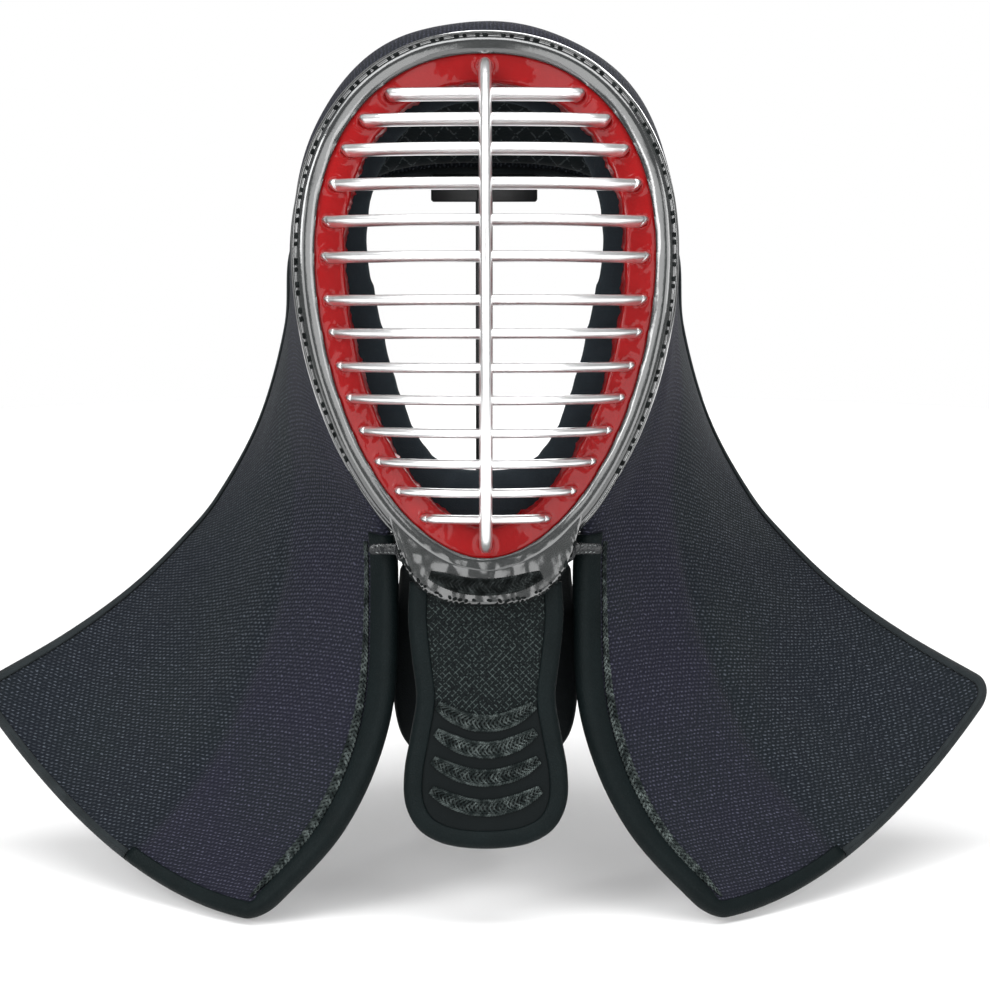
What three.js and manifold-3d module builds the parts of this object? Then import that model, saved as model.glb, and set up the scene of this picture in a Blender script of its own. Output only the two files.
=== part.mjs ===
// A kendo helmet on a plain display stand, in millimetres.
// X runs to the right as the viewer sees it, Y to the back and Z up. The helmet is drawn upright, with the
// front corners of its wings at height 0, and then leans back until its crown rests on the stand.

import * as THREE from 'three';
import Module from 'manifold-3d';

const wasm = await Module();
wasm.setup();

// Clearance between neighbouring pieces
const gap = 0.3;

// Face opening: the outer edge of the red rim
const grilleWidth = 168.4;
const grilleHeight = 248;
const chinHeight = 176;
const widestShare = 0.6;
const browPower = 2.2;
const chinPower = 1.85;
const browSetback = 24;
const chinLead = 10;

// Grille of oval bars, and the frame ring behind the red rim that holds their ends
const barThickness = 4.4;
const barDepth = 7.5;
const topBarRoll = 52;
const barInset = 9;
const barSides = 8;
const barBulge = 42;
const bulgeShare = 0.42;
const uprightWidth = 6.3;
const uprightDepth = 8.5;
const uprightInset = 7.5;
const uprightLead = 4.5;
const frameWidth = 4;
const frameBack = 20;

// Height of each horizontal bar, as a share of grilleHeight above the red rim's lowest point
const barHeights = [0.91, 0.859, 0.8, 0.732, 0.661, 0.591, 0.508, 0.444, 0.379, 0.317, 0.254, 0.194, 0.137, 0.084];

// Red rim: a front plate with a wall behind its inner edge
const redWidth = 15.7;
const redPlate = 3;
const redWall = 4.7;
const redBack = 26;

// Black rim, with an apron under the chin
const rimOverlap = 1.4;
const rimWidth = 10;
const rimBack = 16;
const rimFront = 3.6;
const apronHalfWidth = 46;
const apronTop = 24;
const apronDrop = 21;
const apronThickness = 5;

// Quilted cloth: crown and wings
const clothThickness = 7;
const headHalfWidth = 96.5;
const headDepth = 160;
const crownHeight = 433;
const wingHalfWidth = 266;
const cornerRadius = 11;
const kneeShare = 0.45;

// Edges of the cloth
const leatherThickness = 1.2;
const leatherWidth = 10.5;
const leatherFootWidth = 7;
const tapeWidth = 4;
const braidWidth = 5.5;
const braidHeight = 1.8;

// Face pad and crown lining
const facePadDepth = 17;
const faceHalfWidth = 57;
const faceTop = 75;
const faceBottom = 104;
const faceChinShare = 0.62;
const liningThickness = 6;
const liningRows = 3;

// Throat flap and the second flap behind it
const flapThickness = 6;
const flapLength = 128;
const flapHalfWidth = 39;
const flapBorder = 7.7;
const flapLead = 6;
const innerFlapThickness = 5;
const innerFlapLength = 114;
const innerFlapHalfWidth = 44;
const innerFlapLean = 22;
const ridgeHeight = 2;
const ridgeWidth = 8;
const ridgeReach = 27;
const ridgeDrop = 9;

// Chin tabs
const tabLength = 19;
const tabWidth = 5.5;
const tabThickness = 2;

// Display stand
const leanAngle = 7.5;
const postSize = 9;
const postPlace = 184;
const crossbarLength = 56;
const crossbarHeight = 14;
const baseWidth = 54;
const baseLength = 100;
const baseHeight = 6;

// Rows of the cloth from the crown's middle down to the chin. The front of each row lies on the rim at the
// angle given. The knee is the row's middle and the back is its far end. Out is a share of headHalfWidth, back
// of headDepth and up of crownHeight.
const headRows = [
  { angle: 90, kneeOut: 0, kneeBack: 0.51, kneeUp: 1, backOut: 0, backBack: 0.94, backUp: 0.854 },
  { angle: 65, kneeOut: 0.455, kneeBack: 0.5, kneeUp: 0.981, backOut: 0.475, backBack: 0.925, backUp: 0.847 },
  { angle: 40, kneeOut: 0.781, kneeBack: 0.48, kneeUp: 0.922, backOut: 0.832, backBack: 0.94, backUp: 0.815 },
  { angle: 15, kneeOut: 0.953, kneeBack: 0.45, kneeUp: 0.826, backOut: 1.021, backBack: 0.98, backUp: 0.756 },
  { angle: -10, kneeOut: 0.98, kneeBack: 0.45, kneeUp: 0.69, backOut: 1.06, backBack: 1.01, backUp: 0.663 },
  { angle: -35, kneeOut: 1.006, kneeBack: 0.45, kneeUp: 0.578, backOut: 1.201, backBack: 0.975, backUp: 0.549 },
  { angle: -55, kneeOut: 0.976, kneeBack: 0.46, kneeUp: 0.47, backOut: 1.434, backBack: 0.91, backUp: 0.455 },
];

// Rows of the wing from the chin down to its lower edge. Out is a share of wingHalfWidth, back of headDepth
// and up of chinHeight.
const wingRows = [
  { frontOut: 0.171, frontBack: 0.038, frontUp: 0.853, kneeOut: 0.38, kneeBack: 0.41, kneeUp: 0.908,
    backOut: 0.594, backBack: 0.85, backUp: 0.991 },
  { frontOut: 0.186, frontBack: 0.025, frontUp: 0.538, kneeOut: 0.443, kneeBack: 0.356, kneeUp: 0.625,
    backOut: 0.701, backBack: 0.794, backUp: 0.844 },
  { frontOut: 0.267, frontBack: 0.006, frontUp: 0.251, kneeOut: 0.538, kneeBack: 0.312, kneeUp: 0.36,
    backOut: 0.829, backBack: 0.737, backUp: 0.711 },
  { frontOut: 0.419, frontBack: 0, frontUp: 0, kneeOut: 0.676, kneeBack: 0.281, kneeUp: 0.121,
    backOut: 1, backBack: 0.687, backUp: 0.565 },
];

// Outline of the throat flap: down is a share of flapLength and half a share of flapHalfWidth
const flapOutline = [
  { down: 0, half: 0.97 },
  { down: 0.14, half: 0.95 },
  { down: 0.3, half: 0.88 },
  { down: 0.44, half: 0.83 },
  { down: 0.58, half: 0.9 },
  { down: 0.72, half: 0.98 },
  { down: 0.84, half: 0.97 },
  { down: 0.93, half: 0.82 },
  { down: 0.98, half: 0.55 },
  { down: 1, half: 0.2 },
];

// Outline of the inner flap, as shares of innerFlapLength and innerFlapHalfWidth
const innerFlapOutline = [
  { down: 0, half: 0.6 },
  { down: 0.2, half: 0.93 },
  { down: 0.45, half: 1.05 },
  { down: 0.75, half: 1.04 },
  { down: 0.92, half: 0.9 },
  { down: 1, half: 0.55 },
];

// Braided ridges on the throat flap: the middle of each one, as a share of flapLength from its top, and its
// reach to each side, as a share of flapHalfWidth
const ridgeRows = [
  { down: 0.536, reach: 0.6 },
  { down: 0.636, reach: 0.62 },
  { down: 0.742, reach: 0.66 },
  { down: 0.855, reach: 0.68 },
];

// Colours and finishes

function finish(color, roughness, metalness = 0) {
  return new THREE.MeshStandardMaterial({ color, roughness, metalness });
}

const aluminium = finish(0xd8dadc, 0.25, 1);
const redLacquer = finish(0xb01c1c, 0.2);
const blackLacquer = finish(0x0c0d0e, 0.15);
const indigoCotton = finish(0x23263a, 0.9);
const blackLeather = finish(0x151a1c, 0.6);
const blackBraid = finish(0x101416, 0.8);
const padCotton = finish(0x1a1f24, 0.95);
const standFinish = finish(0x161616, 0.5);

// Solids

function solidFrom(points, triangles) {
  let volume = 0;
  for (let i = 0; i < triangles.length; i += 3) {
    const [a, b, c] = [points[triangles[i]], points[triangles[i + 1]], points[triangles[i + 2]]];
    volume += a.dot(new THREE.Vector3().crossVectors(b, c));
  }
  const order = volume < 0 ? triangles.toReversed() : triangles;
  const vertProperties = new Float32Array(points.flatMap((point) => point.toArray()));
  return new wasm.Manifold(new wasm.Mesh({ numProp: 3, vertProperties, triVerts: new Uint32Array(order) }));
}

// A solid through closed sections that all have the same even number of points
function loft(sections, isLoop) {
  const size = sections[0].length;
  const triangles = [];
  const addQuad = (a, b, c, d) => triangles.push(a, b, c, a, c, d);
  const spans = isLoop ? sections.length : sections.length - 1;
  for (let i = 0; i < spans; i++) {
    const here = i * size;
    const next = ((i + 1) % sections.length) * size;
    for (let j = 0; j < size; j++) {
      const k = (j + 1) % size;
      addQuad(here + j, here + k, next + k, next + j);
    }
  }
  if (!isLoop) {
    const end = (sections.length - 1) * size;
    for (let j = 0; j < size / 2 - 1; j++) {
      addQuad(j + 1, j, size - 1 - j, size - 2 - j);
      addQuad(end + j, end + j + 1, end + size - 2 - j, end + size - 1 - j);
    }
  }
  return solidFrom(sections.flat(), triangles);
}

function meshOf(name, solid, material) {
  const { vertProperties, triVerts } = solid.getMesh();
  const geometry = new THREE.BufferGeometry();
  geometry.setAttribute('position', new THREE.BufferAttribute(vertProperties, 3));
  geometry.setIndex(new THREE.BufferAttribute(triVerts, 1));
  geometry.computeVertexNormals();
  const mesh = new THREE.Mesh(geometry, material);
  mesh.name = name;
  return mesh;
}

function mirrored(solid) {
  return solid.mirror([1, 0, 0]);
}

function bothSides(solid) {
  return solid.add(mirrored(solid));
}

function range(count, from, to) {
  return Array.from({ length: count + 1 }, (_, i) => from + ((to - from) * i) / count);
}

// Outlines seen from the front: egg shapes with their own power above and below the widest place

const redEdge = {
  middle: chinHeight + grilleHeight * widestShare,
  halfWidth: grilleWidth / 2,
  up: grilleHeight * (1 - widestShare),
  down: grilleHeight * widestShare,
  upPower: browPower,
  downPower: chinPower,
  chinShare: 1,
};

const faceEdge = {
  middle: redEdge.middle,
  halfWidth: faceHalfWidth,
  up: faceTop,
  down: faceBottom,
  upPower: 2.4,
  downPower: 4,
  chinShare: faceChinShare,
};

function outlinePoint(outline, angle, grow = 0) {
  const isUp = Math.sin(angle) > 0;
  const exponent = 2 / (isUp ? outline.upPower : outline.downPower);
  const rise = Math.abs(Math.sin(angle)) ** exponent;
  const reach = (isUp ? outline.up : -outline.down) + (isUp ? grow : -grow);
  const taper = isUp ? 1 : 1 - (1 - outline.chinShare) * rise;
  const across = Math.sign(Math.cos(angle)) * Math.abs(Math.cos(angle)) ** exponent;
  return { x: (outline.halfWidth + grow) * taper * across, z: outline.middle + reach * rise };
}

function outlineHalfWidth(outline, z, grow) {
  const isUp = z > outline.middle;
  const power = isUp ? outline.upPower : outline.downPower;
  const share = Math.abs(z - outline.middle) / ((isUp ? outline.up : outline.down) + grow);
  return (outline.halfWidth + grow) * (1 - share ** power) ** (1 / power);
}

// How far the rims lie behind their sides at a height
function ringDepth(z) {
  const level = chinHeight + grilleHeight / 2;
  const share = Math.abs(z - level) / (grilleHeight / 2);
  return z > level ? browSetback * share ** 1.7 : -chinLead * share ** 1.5;
}

// A point beside the red rim's outer edge: out from it, and back from its face
function rimPoint(angle, out, back) {
  const edge = outlinePoint(redEdge, angle);
  const { x, z } = outlinePoint(redEdge, angle, out);
  return new THREE.Vector3(x, ringDepth(edge.z) + back, z);
}

function rimLoop(section, steps) {
  const sections = range(steps, 0, 2 * Math.PI).slice(0, -1)
    .map((angle) => section.map(([out, back]) => rimPoint(angle, out, back)));
  return loft(sections, true);
}

// Grille

// How far a bar lies in front of the rim, at a share of the way from its middle to its end
function bulgeAt(share) {
  return 1 - Math.min(1, Math.abs(share)) ** 2.2;
}

function uprightBulge(z) {
  const middle = chinHeight + grilleHeight * bulgeShare;
  const span = z > middle ? grilleHeight * (1 - bulgeShare) : grilleHeight * bulgeShare;
  return barBulge * bulgeAt((z - middle) / (span - uprightInset));
}

// A bar of oval section along a path. The plane of the path has the normal given, and roll turns the oval.
function ovalBar(path, planeNormal, across, along, roll, grow) {
  const sections = path.map((point, i) => {
    const tangent = path[Math.min(i + 1, path.length - 1)].clone().sub(path[Math.max(i - 1, 0)]).normalize();
    const facing = new THREE.Vector3().crossVectors(tangent, planeNormal).normalize();
    const long = facing.clone().multiplyScalar(Math.cos(roll)).addScaledVector(planeNormal, Math.sin(roll));
    const short = planeNormal.clone().multiplyScalar(Math.cos(roll)).addScaledVector(facing, -Math.sin(roll));
    return range(barSides, 0, 2 * Math.PI).slice(0, -1).map((turn) => point.clone()
      .addScaledVector(long, (along / 2 + grow) * Math.cos(turn))
      .addScaledVector(short, (across / 2 + grow) * Math.sin(turn)));
  });
  return loft(sections, false);
}

// Half of a bar's path, from its end in the frame ring to its middle: inward from the end and back from the rim
function bentEnd(reach, bulge) {
  const root = [[0, 9], [0, -1], [3, -3.6]];
  const rest = [0.82, 0.58, 0.3].map((share) => [
    reach * (1 - share),
    -4 - (bulge - 4) * bulgeAt(share),
  ]);
  return [...root, ...rest];
}

function horizontalBar(heightShare, grow) {
  const z = chinHeight + grilleHeight * heightShare;
  const reach = outlineHalfWidth(redEdge, z, -barInset);
  const half = bentEnd(reach, uprightBulge(z)).map(([inward, back]) => [reach - inward, ringDepth(z) + back]);
  const middle = [0, ringDepth(z) - uprightBulge(z)];
  const path = [...half.map(([x, y]) => [-x, y]), middle, ...half.toReversed()]
    .map(([x, y]) => new THREE.Vector3(x, y, z));
  const roll = THREE.MathUtils.degToRad(topBarRoll) * (heightShare / barHeights[0]) ** 1.2;
  return ovalBar(path, new THREE.Vector3(0, 0, 1), barThickness, barDepth, roll, grow);
}

function uprightBar(grow) {
  const top = chinHeight + grilleHeight - uprightInset;
  const bottom = chinHeight + uprightInset;
  const heights = range(16, bottom + 3, top - 3);
  const path = heights.map((z) => new THREE.Vector3(0, ringDepth(z) - uprightBulge(z) - uprightLead, z));
  path.unshift(new THREE.Vector3(0, ringDepth(bottom) - 2, bottom));
  path.unshift(new THREE.Vector3(0, ringDepth(bottom) + 9, bottom));
  path.push(new THREE.Vector3(0, ringDepth(top) - 2, top));
  path.push(new THREE.Vector3(0, ringDepth(top) + 9, top));
  return ovalBar(path, new THREE.Vector3(1, 0, 0), uprightWidth, uprightDepth, 0, grow);
}

function allBars(grow) {
  return wasm.Manifold.union([...barHeights.map((share) => horizontalBar(share, grow)), uprightBar(grow)]);
}

function grille() {
  const [inner, outer] = [-barInset - frameWidth / 2, -barInset + frameWidth / 2];
  const front = redPlate + gap;
  const frame = rimLoop([[inner, front], [outer, front], [outer, frameBack], [inner, frameBack]], 40);
  return frame.add(allBars(0));
}

// Rims

function redLoop(grow) {
  const [inner, outer] = [-redWidth - gap, -gap];
  const wall = inner + redWall;
  return rimLoop([
    [inner - grow, -grow],
    [outer + grow, -grow],
    [outer + grow, redPlate + grow],
    [wall + grow, redPlate + grow],
    [wall + grow, redBack + grow],
    [inner - grow, redBack + grow],
  ], 40);
}

function redRim() {
  return redLoop(0).subtract(allBars(gap + 0.1));
}

function blackRimLoop(grow) {
  const section = [
    [-rimOverlap - gap - grow, -gap],
    [-rimOverlap - gap - grow, -2.2 - grow],
    [1, -rimFront - grow],
    [rimWidth / 2, -rimFront + 0.6 - grow],
    [rimWidth * 0.85 + grow, 0.5],
    [rimWidth + grow, 6],
    [rimWidth + grow, rimBack + grow],
    [gap / 3, rimBack + grow],
    [gap / 3, -gap + grow],
    [-rimOverlap / 2, -gap + grow],
  ];
  return rimLoop(section, 48);
}

// The apron spreads from the rim's chin to a squarer lower edge
const apronEdge = {
  middle: chinHeight + apronTop,
  halfWidth: apronHalfWidth,
  up: apronTop,
  down: apronTop + apronDrop,
  upPower: 2,
  downPower: 3.2,
  chinShare: 0.84,
};

function chinApron() {
  const sections = range(24, 0, 1).map((share) => {
    const rimAngle = THREE.MathUtils.degToRad(-128 + 76 * share);
    const edgeAngle = THREE.MathUtils.degToRad(-175 + 170 * share);
    const inner = outlinePoint(redEdge, rimAngle, 2);
    const outer = outlinePoint(apronEdge, edgeAngle);
    const upper = [];
    const lower = [];
    for (const part of range(3, 0, 1)) {
      const x = THREE.MathUtils.lerp(inner.x, outer.x, part);
      const z = THREE.MathUtils.lerp(inner.z, outer.z, part);
      upper.push(new THREE.Vector3(x, ringDepth(z) - apronThickness / 2 - 0.5, z));
      lower.unshift(new THREE.Vector3(x, ringDepth(z) + apronThickness / 2 - 0.5, z));
    }
    return [...upper, ...lower];
  });
  return loft(sections, false);
}

// Cloth

function clothRowPoint(place, row) {
  const isHead = row < headRows.length;
  const shares = isHead ? headRows[row] : wingRows[row - headRows.length];
  const out = shares[`${place}Out`] * (isHead ? headHalfWidth : wingHalfWidth);
  const up = shares[`${place}Up`] * (isHead ? crownHeight : chinHeight);
  return new THREE.Vector3(out, shares[`${place}Back`] * headDepth, up);
}

const chinRow = headRows.length - 1;
const lastRow = headRows.length + wingRows.length - 1;
const clothStart = rimBack + 0.7;
const clothOut = rimWidth - clothThickness / 2;

function clothFrontAt(row) {
  const index = Math.min(chinRow - 1, Math.floor(row));
  const degrees = THREE.MathUtils.lerp(headRows[index].angle, headRows[index + 1].angle, row - index);
  return rimPoint(THREE.MathUtils.degToRad(degrees), clothOut, clothStart);
}

function controlPoint(place, row) {
  if (row < 0) {
    return controlPoint(place, -row).multiply(new THREE.Vector3(-1, 1, 1));
  }
  if (row > lastRow) {
    return controlPoint(place, lastRow).multiplyScalar(2).sub(controlPoint(place, 2 * lastRow - row));
  }
  if (place === 'front' && row <= chinRow) {
    return clothFrontAt(row);
  }
  return clothRowPoint(place, row);
}

// A smooth curve through the rows' control points
function along(place, row) {
  if (place === 'front' && row <= chinRow) {
    return clothFrontAt(row);
  }
  const index = Math.min(lastRow - 1, Math.floor(row));
  const t = row - index;
  const [p0, p1, p2, p3] = [-1, 0, 1, 2].map((step) => controlPoint(place, index + step));
  return p1.clone().multiplyScalar(2)
    .add(p2.clone().sub(p0).multiplyScalar(t))
    .add(p0.clone().multiplyScalar(2).addScaledVector(p1, -5).addScaledVector(p2, 4).sub(p3).multiplyScalar(t * t))
    .add(p3.clone().sub(p0).addScaledVector(p1, 3).addScaledVector(p2, -3).multiplyScalar(t ** 3))
    .multiplyScalar(0.5);
}

// The middle of the cloth: row runs from the left wing's lower edge, through 0 at the crown, to the right one's,
// and share from the front edge to the back edge
function clothMiddle(row, share) {
  const [front, knee, back] = ['front', 'knee', 'back'].map((place) => along(place, Math.abs(row)));
  const point = front.multiplyScalar(((share - kneeShare) * (share - 1)) / kneeShare)
    .addScaledVector(knee, (share * (share - 1)) / (kneeShare * (kneeShare - 1)))
    .addScaledVector(back, (share * (share - kneeShare)) / (1 - kneeShare));
  return row < 0 ? point.multiply(new THREE.Vector3(-1, 1, 1)) : point;
}

function clothPoint(row, share, offset) {
  const step = 0.01;
  const downRows = clothMiddle(row + step, share).sub(clothMiddle(row - step, share));
  const toBack = clothMiddle(row, share + step).sub(clothMiddle(row, share - step));
  const normal = downRows.cross(toBack).normalize();
  const point = clothMiddle(row, share).addScaledVector(normal, offset);
  return row === 0 ? point.setX(0) : point;
}

function rowLength(row) {
  const points = range(8, 0, 1).map((share) => clothMiddle(row, share));
  return points.slice(1).reduce((sum, point, i) => sum + point.distanceTo(points[i]), 0);
}

const footRate = clothMiddle(lastRow, kneeShare).distanceTo(clothMiddle(lastRow - 1, kneeShare));

function clothSlab(rows, span, low, high, columns) {
  const sections = rows.map((row) => {
    const shares = range(columns, ...span(row));
    const upper = shares.map((share) => clothPoint(row, share, high));
    const lower = shares.toReversed().map((share) => clothPoint(row, share, low));
    return [...upper, ...lower];
  });
  return loft(sections, false);
}

// The right half of the cloth, grown on every side, with a round corner at each end of the wing's lower edge
function halfCloth(grow) {
  const radius = cornerRadius + grow;
  const end = lastRow + grow / footRate;
  const start = end - radius / footRate;
  const corner = [0.8, 0.6, 0.4, 0.2, 0.05, 0].map((share) => end - (share * radius) / footRate);
  const rows = [...range(20, 0, start), ...corner];
  const span = (row) => {
    const fromEnd = (end - row) * footRate;
    const inset = fromEnd < radius ? radius - Math.sqrt(radius ** 2 - (radius - fromEnd) ** 2) : 0;
    const reach = (grow - inset) / rowLength(row);
    return [-reach, 1 + reach];
  };
  return clothSlab(rows, span, -clothThickness / 2 - grow, clothThickness / 2 + grow, 8);
}

// Thick blocks that pick out a stretch of the cloth's edge
const pickHeight = 16;

function frontPick(grow) {
  const rows = range(12, chinRow + 0.25, lastRow + 0.5);
  return clothSlab(rows, (row) => [-0.12, (leatherWidth + grow) / rowLength(row)], -pickHeight, pickHeight, 2);
}

function footPick(width, fromShare, toShare) {
  const rows = [lastRow - width / footRate, lastRow + 0.5];
  return clothSlab(rows, () => [fromShare, toShare], -pickHeight, pickHeight, 6);
}

function backPick(grow) {
  const rows = range(16, 0, lastRow + 0.5);
  return clothSlab(rows, (row) => [1 - (tapeWidth + grow) / rowLength(row), 1.12], -pickHeight, pickHeight, 1);
}

function edgeBraid() {
  const rows = range(16, chinRow + 0.35, lastRow - 0.16);
  const low = clothThickness / 2;
  const strip = clothSlab(rows, (row) => {
    const toEnd = Math.min(1, (rows.at(-1) - row) * 5 + 0.35);
    const width = braidWidth * toEnd;
    const middle = leatherWidth + gap + braidWidth / 2;
    return [(middle - width / 2) / rowLength(row), (middle + width / 2) / rowLength(row)];
  }, low, low + gap + braidHeight, 2);
  return strip.subtract(halfCloth(gap)).subtract(frontPick(gap));
}

function crownLining() {
  const high = -clothThickness / 2;
  const slab = clothSlab(range(7, 0, liningRows), () => [0.17, 1], high - gap - liningThickness, high, 7);
  return slab.subtract(halfCloth(gap)).subtract(backPick(2 * gap));
}

// Face pad

function facePad() {
  const front = redBack + gap;
  const sections = range(40, 0, 2 * Math.PI).slice(0, -1).map((angle) => {
    const outer = outlinePoint(redEdge, angle, -4);
    const inner = outlinePoint(faceEdge, angle);
    const depth = ringDepth(outlinePoint(redEdge, angle).z) + front;
    const section = [[0, 0], [0.7, 0], [1, 0.25], [1, 0.75], [0.7, 1], [0, 1]];
    return section.map(([inward, back]) => new THREE.Vector3(
      THREE.MathUtils.lerp(outer.x, inner.x, inward),
      depth + back * facePadDepth,
      THREE.MathUtils.lerp(outer.z, inner.z, inward),
    ));
  });
  return loft(sections, true).subtract(redLoop(gap));
}

// Flaps under the chin

// Points down one side of a flap, moved out from its edge
function flapSide(outline, length, halfWidth, top, grow) {
  const corners = outline.map(({ down, half }) => new THREE.Vector3(half * halfWidth, 0, top - down * length));
  const curve = new THREE.CatmullRomCurve3(corners);
  return range(18, 0, 1).map((share) => {
    const tangent = curve.getTangent(share);
    return curve.getPoint(share).add(new THREE.Vector3(-tangent.z, 0, tangent.x).multiplyScalar(grow));
  });
}

function flapSlab(side, depthAt, low, high) {
  const sections = side.map(({ x, z }) => {
    const columns = range(4, -x, x);
    const front = columns.map((across) => new THREE.Vector3(across, depthAt(z) + low, z));
    const back = columns.toReversed().map((across) => new THREE.Vector3(across, depthAt(z) + high, z));
    return [...front, ...back];
  });
  return loft(sections, false);
}

const flapTop = chinHeight - rimWidth - gap;
const flapPlace = ringDepth(flapTop + gap) + apronThickness / 2 - 0.5 + gap + leatherThickness + gap
  + flapThickness / 2;

function flapDepth(z) {
  return flapPlace - flapLead * Math.max(0, (flapTop - z) / flapLength) ** 1.5;
}

function flapBody(grow) {
  const side = flapSide(flapOutline, flapLength, flapHalfWidth, flapTop, grow);
  return flapSlab(side, flapDepth, -flapThickness / 2 - Math.max(0, grow), flapThickness / 2 + Math.max(0, grow));
}

function flapBorderStrip() {
  const inside = flapSide(flapOutline, flapLength, flapHalfWidth, flapTop, -flapBorder);
  inside.unshift(new THREE.Vector3(inside[0].x, 0, flapTop + 5));
  return flapBody(gap + leatherThickness)
    .subtract(flapBody(gap))
    .subtract(flapSlab(inside, flapDepth, -pickHeight, pickHeight));
}

function ridge(middleHeight, drop, reach, frontAt) {
  const sections = range(12, -1, 1).map((share) => {
    const z = middleHeight + drop * share ** 2;
    const half = (ridgeWidth / 2) * (1 - 0.6 * share ** 4);
    return [[-1, 0], [-0.6, 1], [0.6, 1], [1, 0]].map(([up, out]) => new THREE.Vector3(
      share * reach,
      frontAt(z + up * half) - gap - out * ridgeHeight,
      z + up * half,
    ));
  });
  return loft(sections, false);
}

function innerFlap() {
  const top = chinHeight + 10.5;
  const front = ringDepth(chinHeight) + redBack + gap - gap - innerFlapThickness / 2 - 0.3;
  const depthAt = (z) => front + innerFlapLean * THREE.MathUtils.smoothstep(top - z, 4, 40);
  const side = flapSide(innerFlapOutline, innerFlapLength, innerFlapHalfWidth, top, 0);
  return flapSlab(side, depthAt, -innerFlapThickness / 2, innerFlapThickness / 2);
}

// Chin tabs

function chinTab() {
  const z = chinHeight + 5;
  const start = new THREE.Vector3(38.6, ringDepth(z) + apronThickness / 2 - 0.5 + gap + tabThickness / 2, z);
  const direction = new THREE.Vector3(1, 0.35, 0).normalize();
  const facing = new THREE.Vector3(-direction.y, direction.x, 0);
  const sections = range(4, 0, tabLength).map((distance) => {
    const middle = start.clone().addScaledVector(direction, distance);
    return [[-1, -1], [1, -1], [1, 1], [-1, 1]].map(([back, up]) => middle.clone()
      .addScaledVector(facing, (back * tabThickness) / 2)
      .add(new THREE.Vector3(0, 0, (up * tabWidth) / 2)));
  });
  return loft(sections, false);
}

// Helmet

const redSolid = redRim();
const rimSolid = blackRimLoop(0).add(chinApron());
const rimClearance = blackRimLoop(gap);
const clothHalf = halfCloth(0).subtract(rimClearance);
const clothSkin = halfCloth(gap + leatherThickness);
const clothClearance = halfCloth(gap);
const leatherPick = frontPick(0).add(footPick(leatherFootWidth, -0.12, kneeShare));
const leatherSolid = clothSkin.intersect(leatherPick).subtract(clothClearance).subtract(rimClearance);
const tapePick = backPick(0).add(footPick(tapeWidth, kneeShare + gap / 100, 1.12));
const tapeHalf = clothSkin.intersect(tapePick).subtract(clothClearance);
const clothSolid = bothSides(clothHalf);
const tapeSolid = bothSides(tapeHalf);
const liningSolid = bothSides(crownLining());

const flapFront = (z) => flapDepth(z) - flapThickness / 2;
const apronFront = (z) => ringDepth(z) - apronThickness / 2 - 0.5;
const tabSolid = chinTab();
const braidSolid = edgeBraid();

const helmet = new THREE.Group();
helmet.add(meshOf('grille', grille(), aluminium));
helmet.add(meshOf('red_rim', redSolid, redLacquer));
helmet.add(meshOf('black_rim', rimSolid, blackLacquer));
helmet.add(meshOf('quilted_cloth', clothSolid, indigoCotton));
helmet.add(meshOf('leather_binding_right', leatherSolid, blackLeather));
helmet.add(meshOf('leather_binding_left', mirrored(leatherSolid), blackLeather));
helmet.add(meshOf('edge_tape', tapeSolid, blackLeather));
helmet.add(meshOf('edge_braid_right', braidSolid, blackBraid));
helmet.add(meshOf('edge_braid_left', mirrored(braidSolid), blackBraid));
helmet.add(meshOf('crown_lining', liningSolid, padCotton));
helmet.add(meshOf('face_pad', facePad(), padCotton));
helmet.add(meshOf('throat_flap', flapBody(0), blackLeather));
helmet.add(meshOf('throat_flap_border', flapBorderStrip(), blackLeather));
helmet.add(meshOf('inner_throat_flap', innerFlap(), blackLeather));
helmet.add(meshOf('chin_tab_right', tabSolid, blackLeather));
helmet.add(meshOf('chin_tab_left', mirrored(tabSolid), blackLeather));
helmet.add(meshOf('throat_braid_top', ridge(chinHeight - 12, 6, ridgeReach, apronFront), blackBraid));
ridgeRows.forEach(({ down, reach }, i) => {
  const solid = ridge(flapTop - down * flapLength, ridgeDrop, reach * flapHalfWidth, flapFront);
  helmet.add(meshOf(`throat_braid_${i + 1}`, solid, blackBraid));
});

const lean = -THREE.MathUtils.degToRad(leanAngle);
helmet.rotation.x = lean;
helmet.updateMatrixWorld(true);
const lift = -new THREE.Box3().setFromObject(helmet, true).min.z;
helmet.position.z = lift;

// Stand: a post on a base, with a crossbar whose top follows the lining

function block(low, high) {
  const corners = [[low[0], low[1]], [high[0], low[1]], [high[0], high[1]], [low[0], high[1]]];
  return loft([low[2], high[2]].map((z) => corners.map(([x, y]) => new THREE.Vector3(x, y, z))), false);
}

function stand() {
  const [front, back] = [postPlace - postSize / 2, postPlace + postSize / 2];
  const [left, right] = [-crossbarLength / 2, crossbarLength / 2];
  const column = block([left, front, 0], [right, back, crownHeight]);
  const crown = clothSolid.add(tapeSolid).add(liningSolid).rotate([-leanAngle, 0, 0]).translate([0, 0, lift]);
  const seat = column.intersect(crown).boundingBox().min[2] - gap;
  const post = block([-postSize / 2, front, 0], [postSize / 2, back, seat]);
  const crossbar = block([left, front, seat - crossbarHeight], [right, back, seat]);
  const baseFront = postPlace - baseLength / 4;
  const base = block([-baseWidth / 2, baseFront, 0], [baseWidth / 2, baseFront + baseLength, baseHeight]);
  return post.add(crossbar).add(base);
}

const object = new THREE.Group();
object.add(helmet, meshOf('stand', stand(), standFinish));
const box = new THREE.Box3().setFromObject(object, true);
object.position.y = -(box.min.y + box.max.y) / 2;
export default object;
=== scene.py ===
# A kendo helmet on a plain display stand, in metres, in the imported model's frame.
# The helmet is drawn upright in millimetres, as x to the right, y to the back and z up, and world() leans it
# back onto its stand.

import math

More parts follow.
